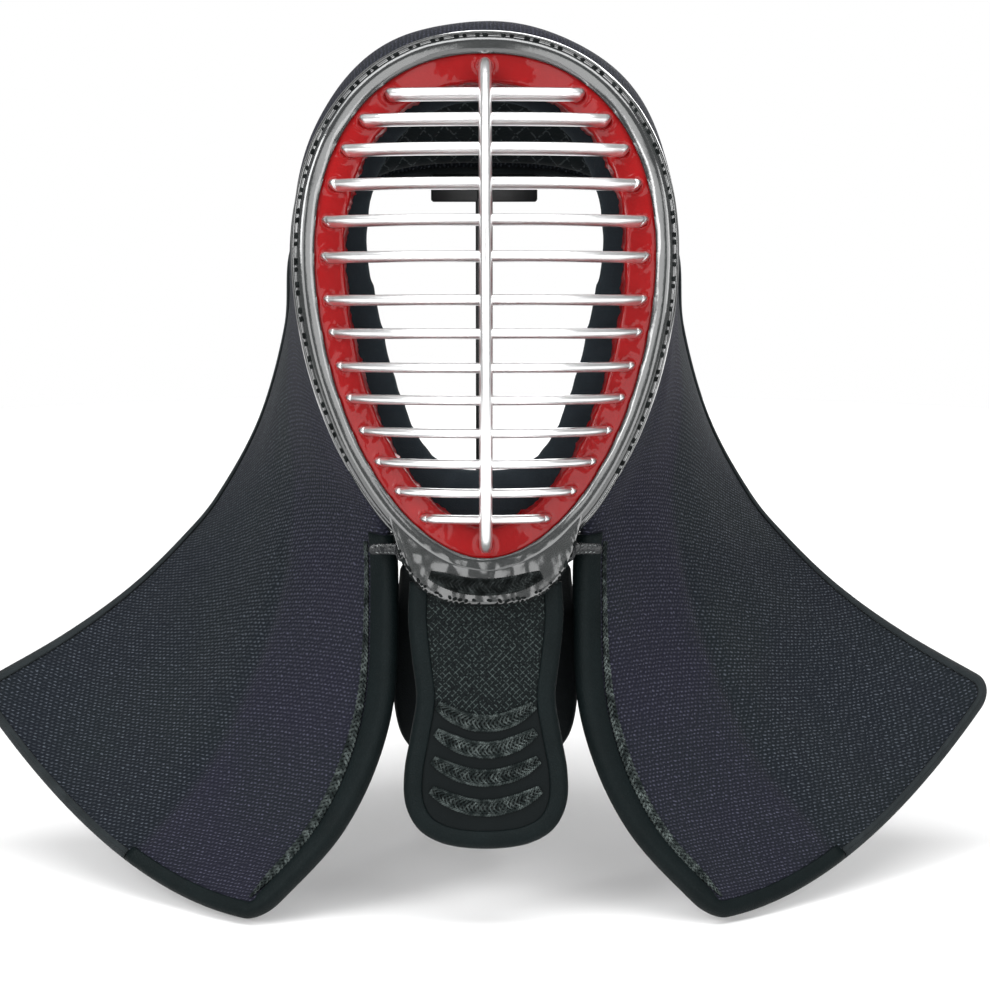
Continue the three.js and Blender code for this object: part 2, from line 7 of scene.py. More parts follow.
import bmesh
import bpy
import numpy as np
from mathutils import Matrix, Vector

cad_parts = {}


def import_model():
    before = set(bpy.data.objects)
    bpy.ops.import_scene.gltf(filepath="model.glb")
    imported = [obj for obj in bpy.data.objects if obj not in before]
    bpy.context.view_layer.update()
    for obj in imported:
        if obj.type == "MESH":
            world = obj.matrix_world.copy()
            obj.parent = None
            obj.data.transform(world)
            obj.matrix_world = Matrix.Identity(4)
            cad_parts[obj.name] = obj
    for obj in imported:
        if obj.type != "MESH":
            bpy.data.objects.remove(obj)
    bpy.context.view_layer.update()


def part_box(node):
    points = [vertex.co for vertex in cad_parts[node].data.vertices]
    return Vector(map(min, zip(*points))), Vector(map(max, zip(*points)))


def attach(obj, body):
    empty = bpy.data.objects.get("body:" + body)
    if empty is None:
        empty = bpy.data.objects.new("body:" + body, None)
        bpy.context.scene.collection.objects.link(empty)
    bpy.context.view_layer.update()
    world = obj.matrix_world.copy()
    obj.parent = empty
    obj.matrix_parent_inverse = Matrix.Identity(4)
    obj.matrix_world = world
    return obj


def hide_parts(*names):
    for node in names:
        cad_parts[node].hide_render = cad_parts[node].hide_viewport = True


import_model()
rng = np.random.default_rng(14)

# Sizes of the helmet and its stand, in millimetres, as in the part's source
GAP = 0.3
GRILLE_WIDTH = 168.4
GRILLE_HEIGHT = 248.0
CHIN_HEIGHT = 176.0
WIDEST_SHARE = 0.6
BROW_POWER = 2.2
CHIN_POWER = 1.85
BROW_SETBACK = 24.0
CHIN_LEAD = 10.0
BAR_THICKNESS = 4.4
BAR_DEPTH = 7.5
TOP_BAR_ROLL = 52.0
BAR_INSET = 9.0
BAR_BULGE = 42.0
BULGE_SHARE = 0.42
UPRIGHT_WIDTH = 6.3
UPRIGHT_DEPTH = 8.5
UPRIGHT_INSET = 7.5
UPRIGHT_LEAD = 4.5
FRAME_WIDTH = 4.0
FRAME_BACK = 20.0
RED_WIDTH = 15.7
RED_PLATE = 3.0
RED_WALL = 4.7
RED_BACK = 26.0
RIM_OVERLAP = 1.4
RIM_WIDTH = 10.0
RIM_BACK = 16.0
RIM_FRONT = 3.6
APRON_HALF_WIDTH = 46.0
APRON_TOP = 24.0
APRON_DROP = 21.0
APRON_THICKNESS = 5.0
CLOTH_THICKNESS = 7.0
HEAD_HALF_WIDTH = 96.5
HEAD_DEPTH = 160.0
CROWN_HEIGHT = 433.0
WING_HALF_WIDTH = 266.0
CORNER_RADIUS = 11.0
KNEE_SHARE = 0.45
LEATHER_THICKNESS = 1.2
LEATHER_WIDTH = 10.5
LEATHER_FOOT_WIDTH = 7.0
TAPE_WIDTH = 4.0
BRAID_WIDTH = 5.5
BRAID_HEIGHT = 1.8
FACE_PAD_DEPTH = 17.0
FACE_HALF_WIDTH = 57.0
FACE_TOP = 75.0
FACE_BOTTOM = 104.0
FACE_CHIN_SHARE = 0.62
LINING_THICKNESS = 6.0
LINING_ROWS = 3.0
FLAP_THICKNESS = 6.0
FLAP_LENGTH = 128.0
FLAP_HALF_WIDTH = 39.0
FLAP_BORDER = 7.7
FLAP_LEAD = 6.0
INNER_FLAP_THICKNESS = 5.0
INNER_FLAP_LENGTH = 114.0
INNER_FLAP_HALF_WIDTH = 44.0
INNER_FLAP_LEAN = 22.0
RIDGE_WIDTH = 8.0
RIDGE_HEIGHT = 2.0
RIDGE_REACH = 27.0
RIDGE_DROP = 9.0
TAB_LENGTH = 19.0
TAB_WIDTH = 5.5
TAB_THICKNESS = 2.0
LEAN = math.radians(7.5)
POST_SIZE = 9.0
CROSSBAR_HEIGHT = 14.0

BAR_HEIGHTS = (0.91, 0.859, 0.8, 0.732, 0.661, 0.591, 0.508, 0.444, 0.379, 0.317, 0.254, 0.194, 0.137, 0.084)

# Rows of the cloth: rim angle, then out, back and up of the knee and of the back edge, as shares of
# HEAD_HALF_WIDTH, HEAD_DEPTH and CROWN_HEIGHT
HEAD_ROWS = (
    (90, (0, 0.51, 1), (0, 0.94, 0.854)),
    (65, (0.455, 0.5, 0.981), (0.475, 0.925, 0.847)),
    (40, (0.781, 0.48, 0.922), (0.832, 0.94, 0.815)),
    (15, (0.953, 0.45, 0.826), (1.021, 0.98, 0.756)),
    (-10, (0.98, 0.45, 0.69), (1.06, 1.01, 0.663)),
    (-35, (1.006, 0.45, 0.578), (1.201, 0.975, 0.549)),
    (-55, (0.976, 0.46, 0.47), (1.434, 0.91, 0.455)),
)

# Rows of the wing: out, back and up of its front edge, knee and back edge, as shares of WING_HALF_WIDTH,
# HEAD_DEPTH and CHIN_HEIGHT
WING_ROWS = (
    ((0.171, 0.038, 0.853), (0.38, 0.41, 0.908), (0.594, 0.85, 0.991)),
    ((0.186, 0.025, 0.538), (0.443, 0.356, 0.625), (0.701, 0.794, 0.844)),
    ((0.267, 0.006, 0.251), (0.538, 0.312, 0.36), (0.829, 0.737, 0.711)),
    ((0.419, 0, 0), (0.676, 0.281, 0.121), (1, 0.687, 0.565)),
)

FLAP_OUTLINE = ((0, 0.91), (0.14, 0.93), (0.3, 0.88), (0.44, 0.83), (0.58, 0.9), (0.72, 0.98),
                (0.84, 0.97), (0.93, 0.82), (0.98, 0.55), (1, 0.2))
INNER_FLAP_OUTLINE = ((0, 0.6), (0.07, 0.78), (0.13, 0.94), (0.2, 0.975), (0.45, 1.05), (0.75, 1.04),
                      (0.92, 0.9), (1, 0.55))
RIDGE_ROWS = ((0.536, 0.6), (0.636, 0.62), (0.742, 0.66), (0.855, 0.68))
QUILT_PITCH = 11.0
STAND_MIDDLE = 184.0
BASE_DEPTH = 100.0
RIM_STEPS = 420
UP = np.array([0.0, 0.0, 1.0])

# Where the helmet's drawing lies in the model: the stand and the rim say how far it was moved
stand_low, stand_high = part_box("stand")
red_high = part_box("red_rim")[1]


def leaned(points):
    """Points of the upright helmet, turned back about the X axis."""
    p = np.atleast_2d(np.asarray(points, float))
    c, s = math.cos(LEAN), math.sin(LEAN)
    return np.column_stack([p[:, 0], p[:, 1] * c + p[:, 2] * s, -p[:, 1] * s + p[:, 2] * c])


# Egg outlines seen from the front

RED_EDGE = dict(middle=CHIN_HEIGHT + GRILLE_HEIGHT * WIDEST_SHARE, half=GRILLE_WIDTH / 2,
                up=GRILLE_HEIGHT * (1 - WIDEST_SHARE), down=GRILLE_HEIGHT * WIDEST_SHARE,
                up_power=BROW_POWER, down_power=CHIN_POWER, chin_share=1.0)
FACE_EDGE = dict(middle=RED_EDGE["middle"], half=FACE_HALF_WIDTH, up=FACE_TOP, down=FACE_BOTTOM,
                 up_power=2.4, down_power=4.0, chin_share=FACE_CHIN_SHARE)
APRON_EDGE = dict(middle=CHIN_HEIGHT + APRON_TOP, half=APRON_HALF_WIDTH, up=APRON_TOP,
                  down=APRON_TOP + APRON_DROP, up_power=2.0, down_power=3.2, chin_share=0.84)


def outline_point(edge, angle, grow=0.0):
    is_up = math.sin(angle) > 0
    exponent = 2 / (edge["up_power"] if is_up else edge["down_power"])
    rise = abs(math.sin(angle)) ** exponent
    reach = edge["up"] + grow if is_up else -edge["down"] - grow
    taper = 1 if is_up else 1 - (1 - edge["chin_share"]) * rise
    across = math.copysign(abs(math.cos(angle)) ** exponent, math.cos(angle))
    return (edge["half"] + grow) * taper * across, edge["middle"] + reach * rise


def outline_half_width(edge, z, grow):
    is_up = z > edge["middle"]
    power = edge["up_power"] if is_up else edge["down_power"]
    share = abs(z - edge["middle"]) / ((edge["up"] if is_up else edge["down"]) + grow)
    return (edge["half"] + grow) * (1 - share**power) ** (1 / power)


def ring_depth(z):
    level = CHIN_HEIGHT + GRILLE_HEIGHT / 2
    share = abs(z - level) / (GRILLE_HEIGHT / 2)
    return BROW_SETBACK * share**1.7 if z > level else -CHIN_LEAD * share**1.5


def rim_point(angle, out, back):
    edge_z = outline_point(RED_EDGE, angle)[1]
    x, z = outline_point(RED_EDGE, angle, out)
    return np.array([x, ring_depth(edge_z) + back, z])


# The model's place: the red rim's highest point is known in both frames
rim_corners = np.array([rim_point(a, out, back) for a in np.linspace(0, 2 * math.pi, 1441)
                        for out, back in ((-RED_WIDTH - GAP, RED_BACK), (-GAP, 0))])
SHIFT_Y = stand_low.y * 1000 - (STAND_MIDDLE - BASE_DEPTH / 4)
LIFT = red_high.z * 1000 - leaned(rim_corners)[:, 2].max()


def world(points):
    """Points of the upright helmet in millimetres, as places in the model in metres."""
    return (leaned(points) + np.array([0, SHIFT_Y, LIFT])) / 1000


# Paths and fields

def unit(vectors):
    vectors = np.asarray(vectors, float)
    return vectors / np.linalg.norm(vectors, axis=-1, keepdims=True)


def path_lengths(path):
    """How far along a path each of its points lies."""
    return np.concatenate([[0], np.cumsum(np.linalg.norm(np.diff(path, axis=0), axis=1))])


def points_at(path, lengths, spots):
    return np.column_stack([np.interp(spots, lengths, path[:, k]) for k in range(3)])


def tangents_of(path):
    return unit(np.gradient(np.asarray(path, float), axis=0))


def catmull_rom(a, b, c, d, t):
    return 0.5 * (2 * b + (c - a) * t + (2 * a - 5 * b + 4 * c - d) * t**2 + (d - a + 3 * b - 3 * c) * t**3)


def spline_points(points, per_span):
    """A Catmull-Rom curve through points."""
    p = np.asarray(points, float)
    p = np.vstack([2 * p[0] - p[1], p, 2 * p[-1] - p[-2]])
    steps = np.arange(per_span) / per_span
    return np.array([catmull_rom(*span, t) for span in zip(p, p[1:], p[2:], p[3:]) for t in steps] + [p[-2]])


def smoothstep(x, low, high):
    t = np.clip((x - low) / (high - low), 0, 1)
    return t * t * (3 - 2 * t)


def smooth_noise(points, scale, seed):
    """A soft random field from a few sine waves, about -1 to 1."""
    waves = np.random.default_rng(seed)
    total = np.zeros(len(points))
    for _ in range(7):
        direction = waves.normal(size=3)
        direction /= np.linalg.norm(direction)
        wave = points @ direction * (2 * math.pi / scale) * waves.uniform(0.6, 1.6)
        total += np.sin(wave + waves.uniform(0, 6.28))
    return total / 4


def edge_roundness(distance, radius, least):
    """How thick a wall is near its edge, as a share of its full thickness."""
    return np.sqrt(np.clip(1 - (1 - np.clip(distance / radius, 0, 1)) ** 2, least, 1))


# The cloth's middle surface, as in the part's source

CHIN_ROW = len(HEAD_ROWS) - 1
LAST_ROW = len(HEAD_ROWS) + len(WING_ROWS) - 1


def control_point(place, row):
    if row < 0:
        return control_point(place, -row) * np.array([-1, 1, 1])
    if row > LAST_ROW:
        return 2 * control_point(place, LAST_ROW) - control_point(place, 2 * LAST_ROW - row)
    if place == 0 and row <= CHIN_ROW:
        return cloth_front(row)
    if row <= CHIN_ROW:
        return np.array(HEAD_ROWS[row][place]) * np.array([HEAD_HALF_WIDTH, HEAD_DEPTH, CROWN_HEIGHT])
    shares = np.array(WING_ROWS[row - len(HEAD_ROWS)][place])
    return shares * np.array([WING_HALF_WIDTH, HEAD_DEPTH, CHIN_HEIGHT])


def cloth_front(row):
    index = min(CHIN_ROW - 1, int(row))
    low, high = HEAD_ROWS[index][0], HEAD_ROWS[index + 1][0]
    angle = math.radians(low + (high - low) * (row - index))
    return rim_point(angle, RIM_WIDTH - CLOTH_THICKNESS / 2, RIM_BACK + 0.7)


def smooth_point(place, row):
    if place == 0 and row <= CHIN_ROW:
        return cloth_front(row)
    index = min(LAST_ROW - 1, int(row))
    return catmull_rom(*(control_point(place, index + step) for step in (-1, 0, 1, 2)), row - index)


row_memory = {}


def row_points(row):
    """Front, knee and back of a row of the cloth."""
    key = round(row, 6)
    if key not in row_memory:
        side = -1 if row < 0 else 1
        row_memory[key] = [smooth_point(place, abs(row)) * np.array([side, 1, 1]) for place in (0, 1, 2)]
    return row_memory[key]


def cloth_middle(row, shares):
    front, knee, back = row_points(row)
    s = np.atleast_1d(np.asarray(shares, float))[:, None]
    return (front * (s - KNEE_SHARE) * (s - 1) / KNEE_SHARE
            + knee * s * (s - 1) / (KNEE_SHARE * (KNEE_SHARE - 1))
            + back * s * (s - KNEE_SHARE) / (1 - KNEE_SHARE))


def cloth_normals(row, shares):
    step = 0.01
    s = np.atleast_1d(np.asarray(shares, float))
    down_rows = cloth_middle(row + step, s) - cloth_middle(row - step, s)
    return unit(np.cross(down_rows, cloth_middle(row, s + step) - cloth_middle(row, s - step)))


def cloth_points(row, shares, offsets):
    offsets = np.broadcast_to(np.asarray(offsets, float), np.shape(np.atleast_1d(shares)))
    return cloth_middle(row, shares) + cloth_normals(row, shares) * offsets[:, None]


def row_length(row):
    return float(path_lengths(cloth_middle(row, np.linspace(0, 1, 9)))[-1])


FOOT_RATE = float(np.linalg.norm(cloth_middle(LAST_ROW, KNEE_SHARE) - cloth_middle(LAST_ROW - 1, KNEE_SHARE)))


# Meshes

def make_mesh(name, vertices, faces, uvs=None):
    """A smooth mesh of vertices in metres. uvs has one place for each vertex."""
    mesh = bpy.data.meshes.new(name)
    mesh.from_pydata([tuple(v) for v in np.asarray(vertices)], [], [tuple(int(i) for i in f) for f in faces])
    if uvs is not None:
        layer = mesh.uv_layers.new(name="UVMap")
        corner_vertices = np.zeros(len(mesh.loops), np.int64)
        mesh.loops.foreach_get("vertex_index", corner_vertices)
        layer.data.foreach_set("uv", np.asarray(uvs, float)[corner_vertices].ravel())
    mesh.polygons.foreach_set("use_smooth", [True] * len(mesh.polygons))
    mesh.validate()
    mesh.update()
    return link(name, mesh)


def link(name, data):
    thing = bpy.data.objects.new(name, data)
    bpy.context.scene.collection.objects.link(thing)
    return thing


def grid_faces(rows, columns, wrap_rows=False, wrap_columns=False):
    """Quads between rows of points, each row holding the same number of columns."""
    i = np.arange(rows if wrap_rows else rows - 1)
    j = np.arange(columns if wrap_columns else columns - 1)
    i, j = (m.ravel() for m in np.meshgrid(i, j, indexing="ij"))
    next_i, next_j = (i + 1) % rows, (j + 1) % columns
    here, below = i * columns, next_i * columns
    return np.column_stack([here + j, here + next_j, below + next_j, below + j])


def tube_faces(rows, size):
    """A closed tube's quads and its two end caps."""
    caps = [range(size)[::-1], range((rows - 1) * size, rows * size)]
    return [*grid_faces(rows, size, wrap_columns=True), *caps]


def tube(sections):
    points = np.array(sections)
    return points.reshape(-1, 3), tube_faces(len(points), points.shape[1])


def ring(grid):
    """A closed ring of closed sections."""
    return grid.reshape(-1, 3), grid_faces(grid.shape[0], grid.shape[1], True, True)


def face_outward(piece):
    """Turns the faces of each closed part of a mesh outward."""
    bm = bmesh.new()
    bm.from_mesh(piece.data)
    bmesh.ops.recalc_face_normals(bm, faces=bm.faces)
    bm.to_mesh(piece.data)
    bm.free()


def join_parts(parts):
    """Vertices and faces of several (vertices, faces) pairs as one pair."""
    vertices, faces, start = [], [], 0
    for part_vertices, part_faces in parts:
        vertices.append(np.asarray(part_vertices))
        faces.extend([[i + start for i in face] for face in part_faces])
        start += len(part_vertices)
    return np.vstack(vertices), faces


def finish_piece(piece, material, node=None):
    piece.data.materials.clear()
    piece.data.materials.append(material)
    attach(piece, "root")
    if node:
        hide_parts(node)


def add_piece(name, parts, material, node=None, uvs=None, side=1):
    """One visible piece of (vertices, faces) parts, drawn in millimetres on the upright helmet."""
    vertices, faces = join_parts(parts)
    piece = make_mesh(name, world(vertices * (side, 1, 1)), faces, uvs)
    face_outward(piece)
    finish_piece(piece, material, node)


def add_pair(name, parts, material, node=None):
    """A right piece and its mirror image on the left."""
    for side, word in ((1, "right"), (-1, "left")):
        add_piece(f"{name}_{word}", parts, material, node and f"{node}_{word}", side=side)


def superellipse(count, half_a, half_b, power=2.0):
    """Points round a rounded box section."""
    turns = np.linspace(0, 2 * math.pi, count, endpoint=False)
    return np.column_stack([np.sign(wave) * half * abs(wave) ** (2 / power)
                            for wave, half in ((np.cos(turns), half_a), (np.sin(turns), half_b))])


def sweep(path, sides, ups, section, sizes=None):
    """A section set across a path. sides and ups are each station's two axes, and sizes its scale."""
    if sizes is None:
        sizes = np.ones((len(path), 1))
    section = section[None] * sizes[:, None, :]
    return tube(np.asarray(path)[:, None, :] + section[:, :, :1] * np.asarray(sides)[:, None, :]
                + section[:, :, 1:] * np.asarray(ups)[:, None, :])


# Grille

def bulge_at(share):
    return 1 - min(1, abs(share)) ** 2.2


def upright_bulge(z):
    middle = CHIN_HEIGHT + GRILLE_HEIGHT * BULGE_SHARE
    span = GRILLE_HEIGHT * ((1 - BULGE_SHARE) if z > middle else BULGE_SHARE)
    return BAR_BULGE * bulge_at((z - middle) / (span - UPRIGHT_INSET))


def oval_bar(path, plane_normal, across, along, roll):
    normal = np.asarray(plane_normal, float)
    facing = unit(np.cross(tangents_of(path), normal))
    long = facing * math.cos(roll) + normal * math.sin(roll)
    short = normal * math.cos(roll) - facing * math.sin(roll)
    return sweep(path, long, short, superellipse(20, along / 2, across / 2, 2.15))


def bar_path(height_share):
    z = CHIN_HEIGHT + GRILLE_HEIGHT * height_share
    reach = outline_half_width(RED_EDGE, z, -BAR_INSET) + 1.3 + 1.2 * smoothstep(height_share, 0.7, 0.92)
    bulge, depth = upright_bulge(z), ring_depth(z)
    half = [(0, 9), (0, 2), (0.15, -0.9), (0.9, -2.5), (2.2, -3.5)]
    half += [(reach * (1 - s), -4 - (bulge - 4) * bulge_at(s)) for s in (0.86, 0.75, 0.62, 0.48, 0.33, 0.17)]
    left = [(-(reach - inward), depth + back, z) for inward, back in half]
    right = [(-x, y, z) for x, y, _ in left[::-1]]
    return spline_points(left + [(0, depth - bulge, z)] + right, 3)


def bar_roll(height_share):
    return math.radians(TOP_BAR_ROLL) * (height_share / BAR_HEIGHTS[0]) ** 1.2


def upright_path():
    top = CHIN_HEIGHT + GRILLE_HEIGHT - UPRIGHT_INSET
    bottom = CHIN_HEIGHT + UPRIGHT_INSET
    heights = np.linspace(bottom + 3, top - 3, 40)
    path = [(0, ring_depth(bottom) + 9, bottom), (0, ring_depth(bottom) + 1, bottom)]
    path += [(0, ring_depth(z) - upright_bulge(z) - UPRIGHT_LEAD, z) for z in heights]
    path += [(0, ring_depth(top) + 1, top), (0, ring_depth(top) + 9, top)]
    return spline_points(path, 2)


def rim_loop_points(section, steps):
    return np.array([[rim_point(angle, out, back) for out, back in section]
                     for angle in np.linspace(0, 2 * math.pi, steps, endpoint=False)])


def make_grille(material):
    parts = [oval_bar(bar_path(share), UP, BAR_THICKNESS, BAR_DEPTH, bar_roll(share))
             for share in BAR_HEIGHTS]
    parts.append(oval_bar(upright_path(), (1, 0, 0), UPRIGHT_WIDTH, UPRIGHT_DEPTH, 0))
    inner, outer = -BAR_INSET - FRAME_WIDTH / 2, -BAR_INSET + FRAME_WIDTH / 2
    front = RED_PLATE + GAP
    frame_section = [(inner, front), (outer, front), (outer, FRAME_BACK), (inner, FRAME_BACK)]
    parts.append(ring(rim_loop_points(frame_section, 96)))
    add_piece("grille_bars", parts, material, "grille")


# Red rim

def round_corners(points, radius, steps):
    """A closed section with its corners rounded."""
    p = np.asarray(points, float)
    out = []
    for before, here, after in zip(np.roll(p, 1, axis=0), p, np.roll(p, -1, axis=0)):
        start, end = (here + unit(arm) * min(radius, np.linalg.norm(arm) * 0.45)
                      for arm in (before - here, after - here))
        out += [(1 - t) ** 2 * start + 2 * t * (1 - t) * here + t**2 * end for t in np.linspace(0, 1, steps)]
    return np.array(out)


def divided(points, spacing):
    """A closed section with more points along its long sides."""
    out = []
    for a, b in zip(points, np.roll(points, -1, axis=0)):
        count = max(1, int(round(np.linalg.norm(b - a) / spacing)))
        out += [a + (b - a) * k / count for k in range(count)]
    return np.array(out)


def distance_to_path(points, path):
    best = np.full(len(points), 1e9)
    for a, b in zip(path, path[1:]):
        span = b - a
        t = np.clip(((points - a) @ span) / (span @ span), 0, 1)
        best = np.minimum(best, np.linalg.norm(points - (a + t[:, None] * span), axis=1))
    return best


def rim_surface(section):
    """The points and outward normals of a rim, and how far out and back each lies."""
    grid = rim_loop_points(section, RIM_STEPS)
    slopes = [np.roll(grid, -1, axis) - np.roll(grid, 1, axis) for axis in (0, 1)]
    normals = np.cross(*slopes)
    normals /= np.maximum(np.linalg.norm(normals, axis=2)[:, :, None], 1e-9)
    if ((grid - grid.mean(axis=1, keepdims=True)) * normals).sum() < 0:
        normals = -normals
    return grid.reshape(-1, 3), normals.reshape(-1, 3), *(np.tile(column, RIM_STEPS) for column in section.T)


def pushed_ring(flat, normals, push):
    return ring((flat + normals * push[:, None]).reshape(RIM_STEPS, -1, 3))


def make_red_rim(material):
    inner, outer = -RED_WIDTH - GAP, -GAP
    wall = inner + RED_WALL
    corners = [(inner, 0), (outer, 0), (outer, RED_PLATE), (wall, RED_PLATE), (wall, RED_BACK),
               (inner, RED_BACK)]
    flat, normals, out, back = rim_surface(divided(round_corners(corners, 2.2, 4), 1.5))
    shown = smoothstep(-back, -9, -2) * smoothstep(outer - 0.8 - out, 0, 1.2)
    push = np.zeros(len(flat))
    # Pockets round the bar ends
    ends = []
    for share in BAR_HEIGHTS:
        path, roll = bar_path(share), bar_roll(share)
        thick = math.hypot(BAR_DEPTH / 2 * math.sin(roll), BAR_THICKNESS / 2 * math.cos(roll))
        ends += [(path[:14], thick), (path[-14:], thick)]
    upright = upright_path()
    ends += [(upright[:6], UPRIGHT_WIDTH / 2), (upright[-6:], UPRIGHT_WIDTH / 2)]
    for path, thick in ends:
        near = np.linalg.norm(flat - path[4], axis=1) < 26
        d = distance_to_path(flat[near], path)
        lip = 0.95 * np.exp(-(((d - thick - 1.2) / 0.7) ** 2))
        push[near] += (lip - 1.3 * (1 - smoothstep(d, thick - 0.3, thick + 0.5))) * shown[near]
    # Creases of the hide on the inner wall
    inner_wall = smoothstep(-out, 14.2, 15.6) * smoothstep(back, -1, 5)
    arc = np.repeat(np.linspace(0, 2 * math.pi, RIM_STEPS, endpoint=False), len(flat) // RIM_STEPS) * 105
    creases = np.sin(arc / 2.6 + 1.4 * smooth_noise(flat, 31, 3)) ** 7
    push += inner_wall * (0.9 * creases + 0.6 * smooth_noise(flat, 9, 5) + 0.4 * smooth_noise(flat, 4.5, 6))
    push += 0.16 * smooth_noise(flat, 26, 8) * smoothstep(-out, 1.5, 4)
    add_piece("red_lacquered_rim", [pushed_ring(flat, normals, push)], material, "red_rim")


# Black rim and its apron

def make_black_rim(material):
    inner, outer = -RIM_OVERLAP - GAP, RIM_WIDTH
    corners = [(inner, -GAP), (inner, -1.9), (1, -RIM_FRONT + 0.4), (4.2, -RIM_FRONT), (6.3, -2.6),
               (6.9, -1.5), (8.0, -1.3), (8.5, -2.2), (9.4, -1.6), (outer, 1.5), (outer, RIM_BACK),
               (0.1, RIM_BACK), (0.1, -GAP)]
    flat, normals, out, back = rim_surface(divided(round_corners(corners, 0.9, 3), 1.2))
    dents = 0.22 * smooth_noise(flat, 34, 21) + 0.08 * smooth_noise(flat, 9, 22) * smoothstep(out, 5, 8)
    push = smoothstep(out, -1, 1.5) * smoothstep(-back, -4, 0) * (dents - 0.1)
    add_piece("black_lacquered_rim", [pushed_ring(flat, normals, push), apron_part()],
              material, "black_rim")


def apron_place(share, part):
    """A point across the apron: share from left to right, part from the rim to the lower edge."""
    inner = outline_point(RED_EDGE, math.radians(-128 + 76 * share), 2)
    outer = outline_point(APRON_EDGE, math.radians(-175 + 170 * share))
    x, z = (inner[k] + (outer[k] - inner[k]) * part for k in (0, 1))
    return np.array([x, ring_depth(z) - 0.5, z])


def apron_part():
    half = APRON_THICKNESS / 2
    sections = []
    for share in np.linspace(0, 1, 90):
        front, back = [], []
        for part in np.linspace(0.03, 0.985, 22):
            point = apron_place(share, part)
            x, _, z = point
            edge = min(1, (1 - part) * 9, part * 6, share * 14 + 0.3, (1 - share) * 14 + 0.3)
            round_off = half * (1 - math.sqrt(max(0, 1 - (1 - edge) ** 2)))
            side = smoothstep(abs(share - 0.5), 0.28, 0.4)
            ripple = 0.35 * math.sin(x * 1.9 + z * 0.7) + 0.3 * math.sin(z * 1.7 - x * 0.6)
            crumple = 0.75 * side * ripple * smoothstep(part, 0.2, 0.7)
            front.append(point + (0, -half + round_off * 0.8 + 0.25 + 0.25 * crumple, 0))
            back.append(point + (0, half - round_off * 0.5, 0))
        sections.append(front + back[::-1])
    return tube(sections)


def stitch(path, width, height, normal, sides=8):
    """A short rounded thread along a path, flat side to the normal."""
    tangents = tangents_of(path)
    normal = np.asarray(normal, float)
    ups = unit(normal - (tangents * normal).sum(axis=1)[:, None] * tangents)
    swell = np.sqrt(np.maximum(0.02, 1 - (2 * np.linspace(0, 1, len(path)) - 1) ** 4))
    section = superellipse(sides, width / 2, height / 2)
    return sweep(path, np.cross(tangents, ups), ups, section, swell[:, None])


def make_rim_lacing(material):
    """Black cord laced through slots along the rim's outer edge, and along the apron's lower edge."""
    parts = []
    turns = np.linspace(math.radians(-46), math.radians(226), 1200)
    path = np.array([rim_point(a, 7.55, -1.25) for a in turns])
    lengths = path_lengths(path)
    place = 3.0
    while place < lengths[-1] - 6:
        long, gap_after = rng.uniform(2.6, 3.8), rng.uniform(0.8, 1.3)
        for piece_length in (long, rng.uniform(2.4, 3.4)):
            spots = np.linspace(place, place + piece_length, 6)
            angle = float(np.interp(spots[2], lengths, turns))
            outward = np.array([math.cos(angle), 0, math.sin(angle)])
            face = outward * 0.35 - (0, 1, 0)
            slant = rng.uniform(-0.3, 0.5)
            points = points_at(path, lengths, spots) + np.linspace(-slant, slant, 6)[:, None] * outward
            points += face * rng.uniform(-0.25, 0.2)
            parts.append(stitch(points, rng.uniform(1.3, 1.7), 1.3, face))
            place += piece_length + gap_after
        place += rng.uniform(2.6, 4.6)
    for share in np.arange(0.02, 0.985, 0.0215):
        for row, part in enumerate((0.955, 0.875)):
            if row == 1 and rng.uniform() < 0.4:
                continue
            middle = apron_place(share + row * 0.01, part + rng.uniform(-0.02, 0.02))
            lift = -APRON_THICKNESS / 2 - (0.1 if row else -0.9)
            way = unit(apron_place(min(1, share + 0.008), part) - apron_place(max(0, share - 0.008), part))
            tilt = rng.uniform(-0.9, 0.9)
            way = way * math.cos(tilt) + UP * math.sin(tilt)
            reach = rng.uniform(0.9, 1.6)
            points = middle + np.linspace(-reach, reach, 6)[:, None] * way + (0, lift, 0)
            parts.append(stitch(points, rng.uniform(1.1, 1.7), rng.uniform(1.0, 1.6), (0, -1, 0)))
    add_piece("rim_lacing", parts, material)


# Quilted cloth

def cloth_rows():
    corner_steps = (0.9, 0.8, 0.7, 0.6, 0.5, 0.4, 0.3, 0.22, 0.15, 0.09, 0.05, 0.02, 0.004)
    half = list(np.linspace(0, LAST_ROW - CORNER_RADIUS / FOOT_RATE, 165))
    half += [LAST_ROW - step * CORNER_RADIUS / FOOT_RATE for step in corner_steps]
    return [-row for row in half[:0:-1]] + half


def cloth_ends(row, inset):
    """Shares at a row's front and back, a distance in from the edge."""
    from_end = (LAST_ROW - abs(row)) * FOOT_RATE
    corner = 0
    if from_end < CORNER_RADIUS:
        corner = CORNER_RADIUS - math.sqrt(max(0, CORNER_RADIUS**2 - (CORNER_RADIUS - from_end) ** 2))
    reach = (corner + inset) / row_length(row)
    return reach, 1 - reach


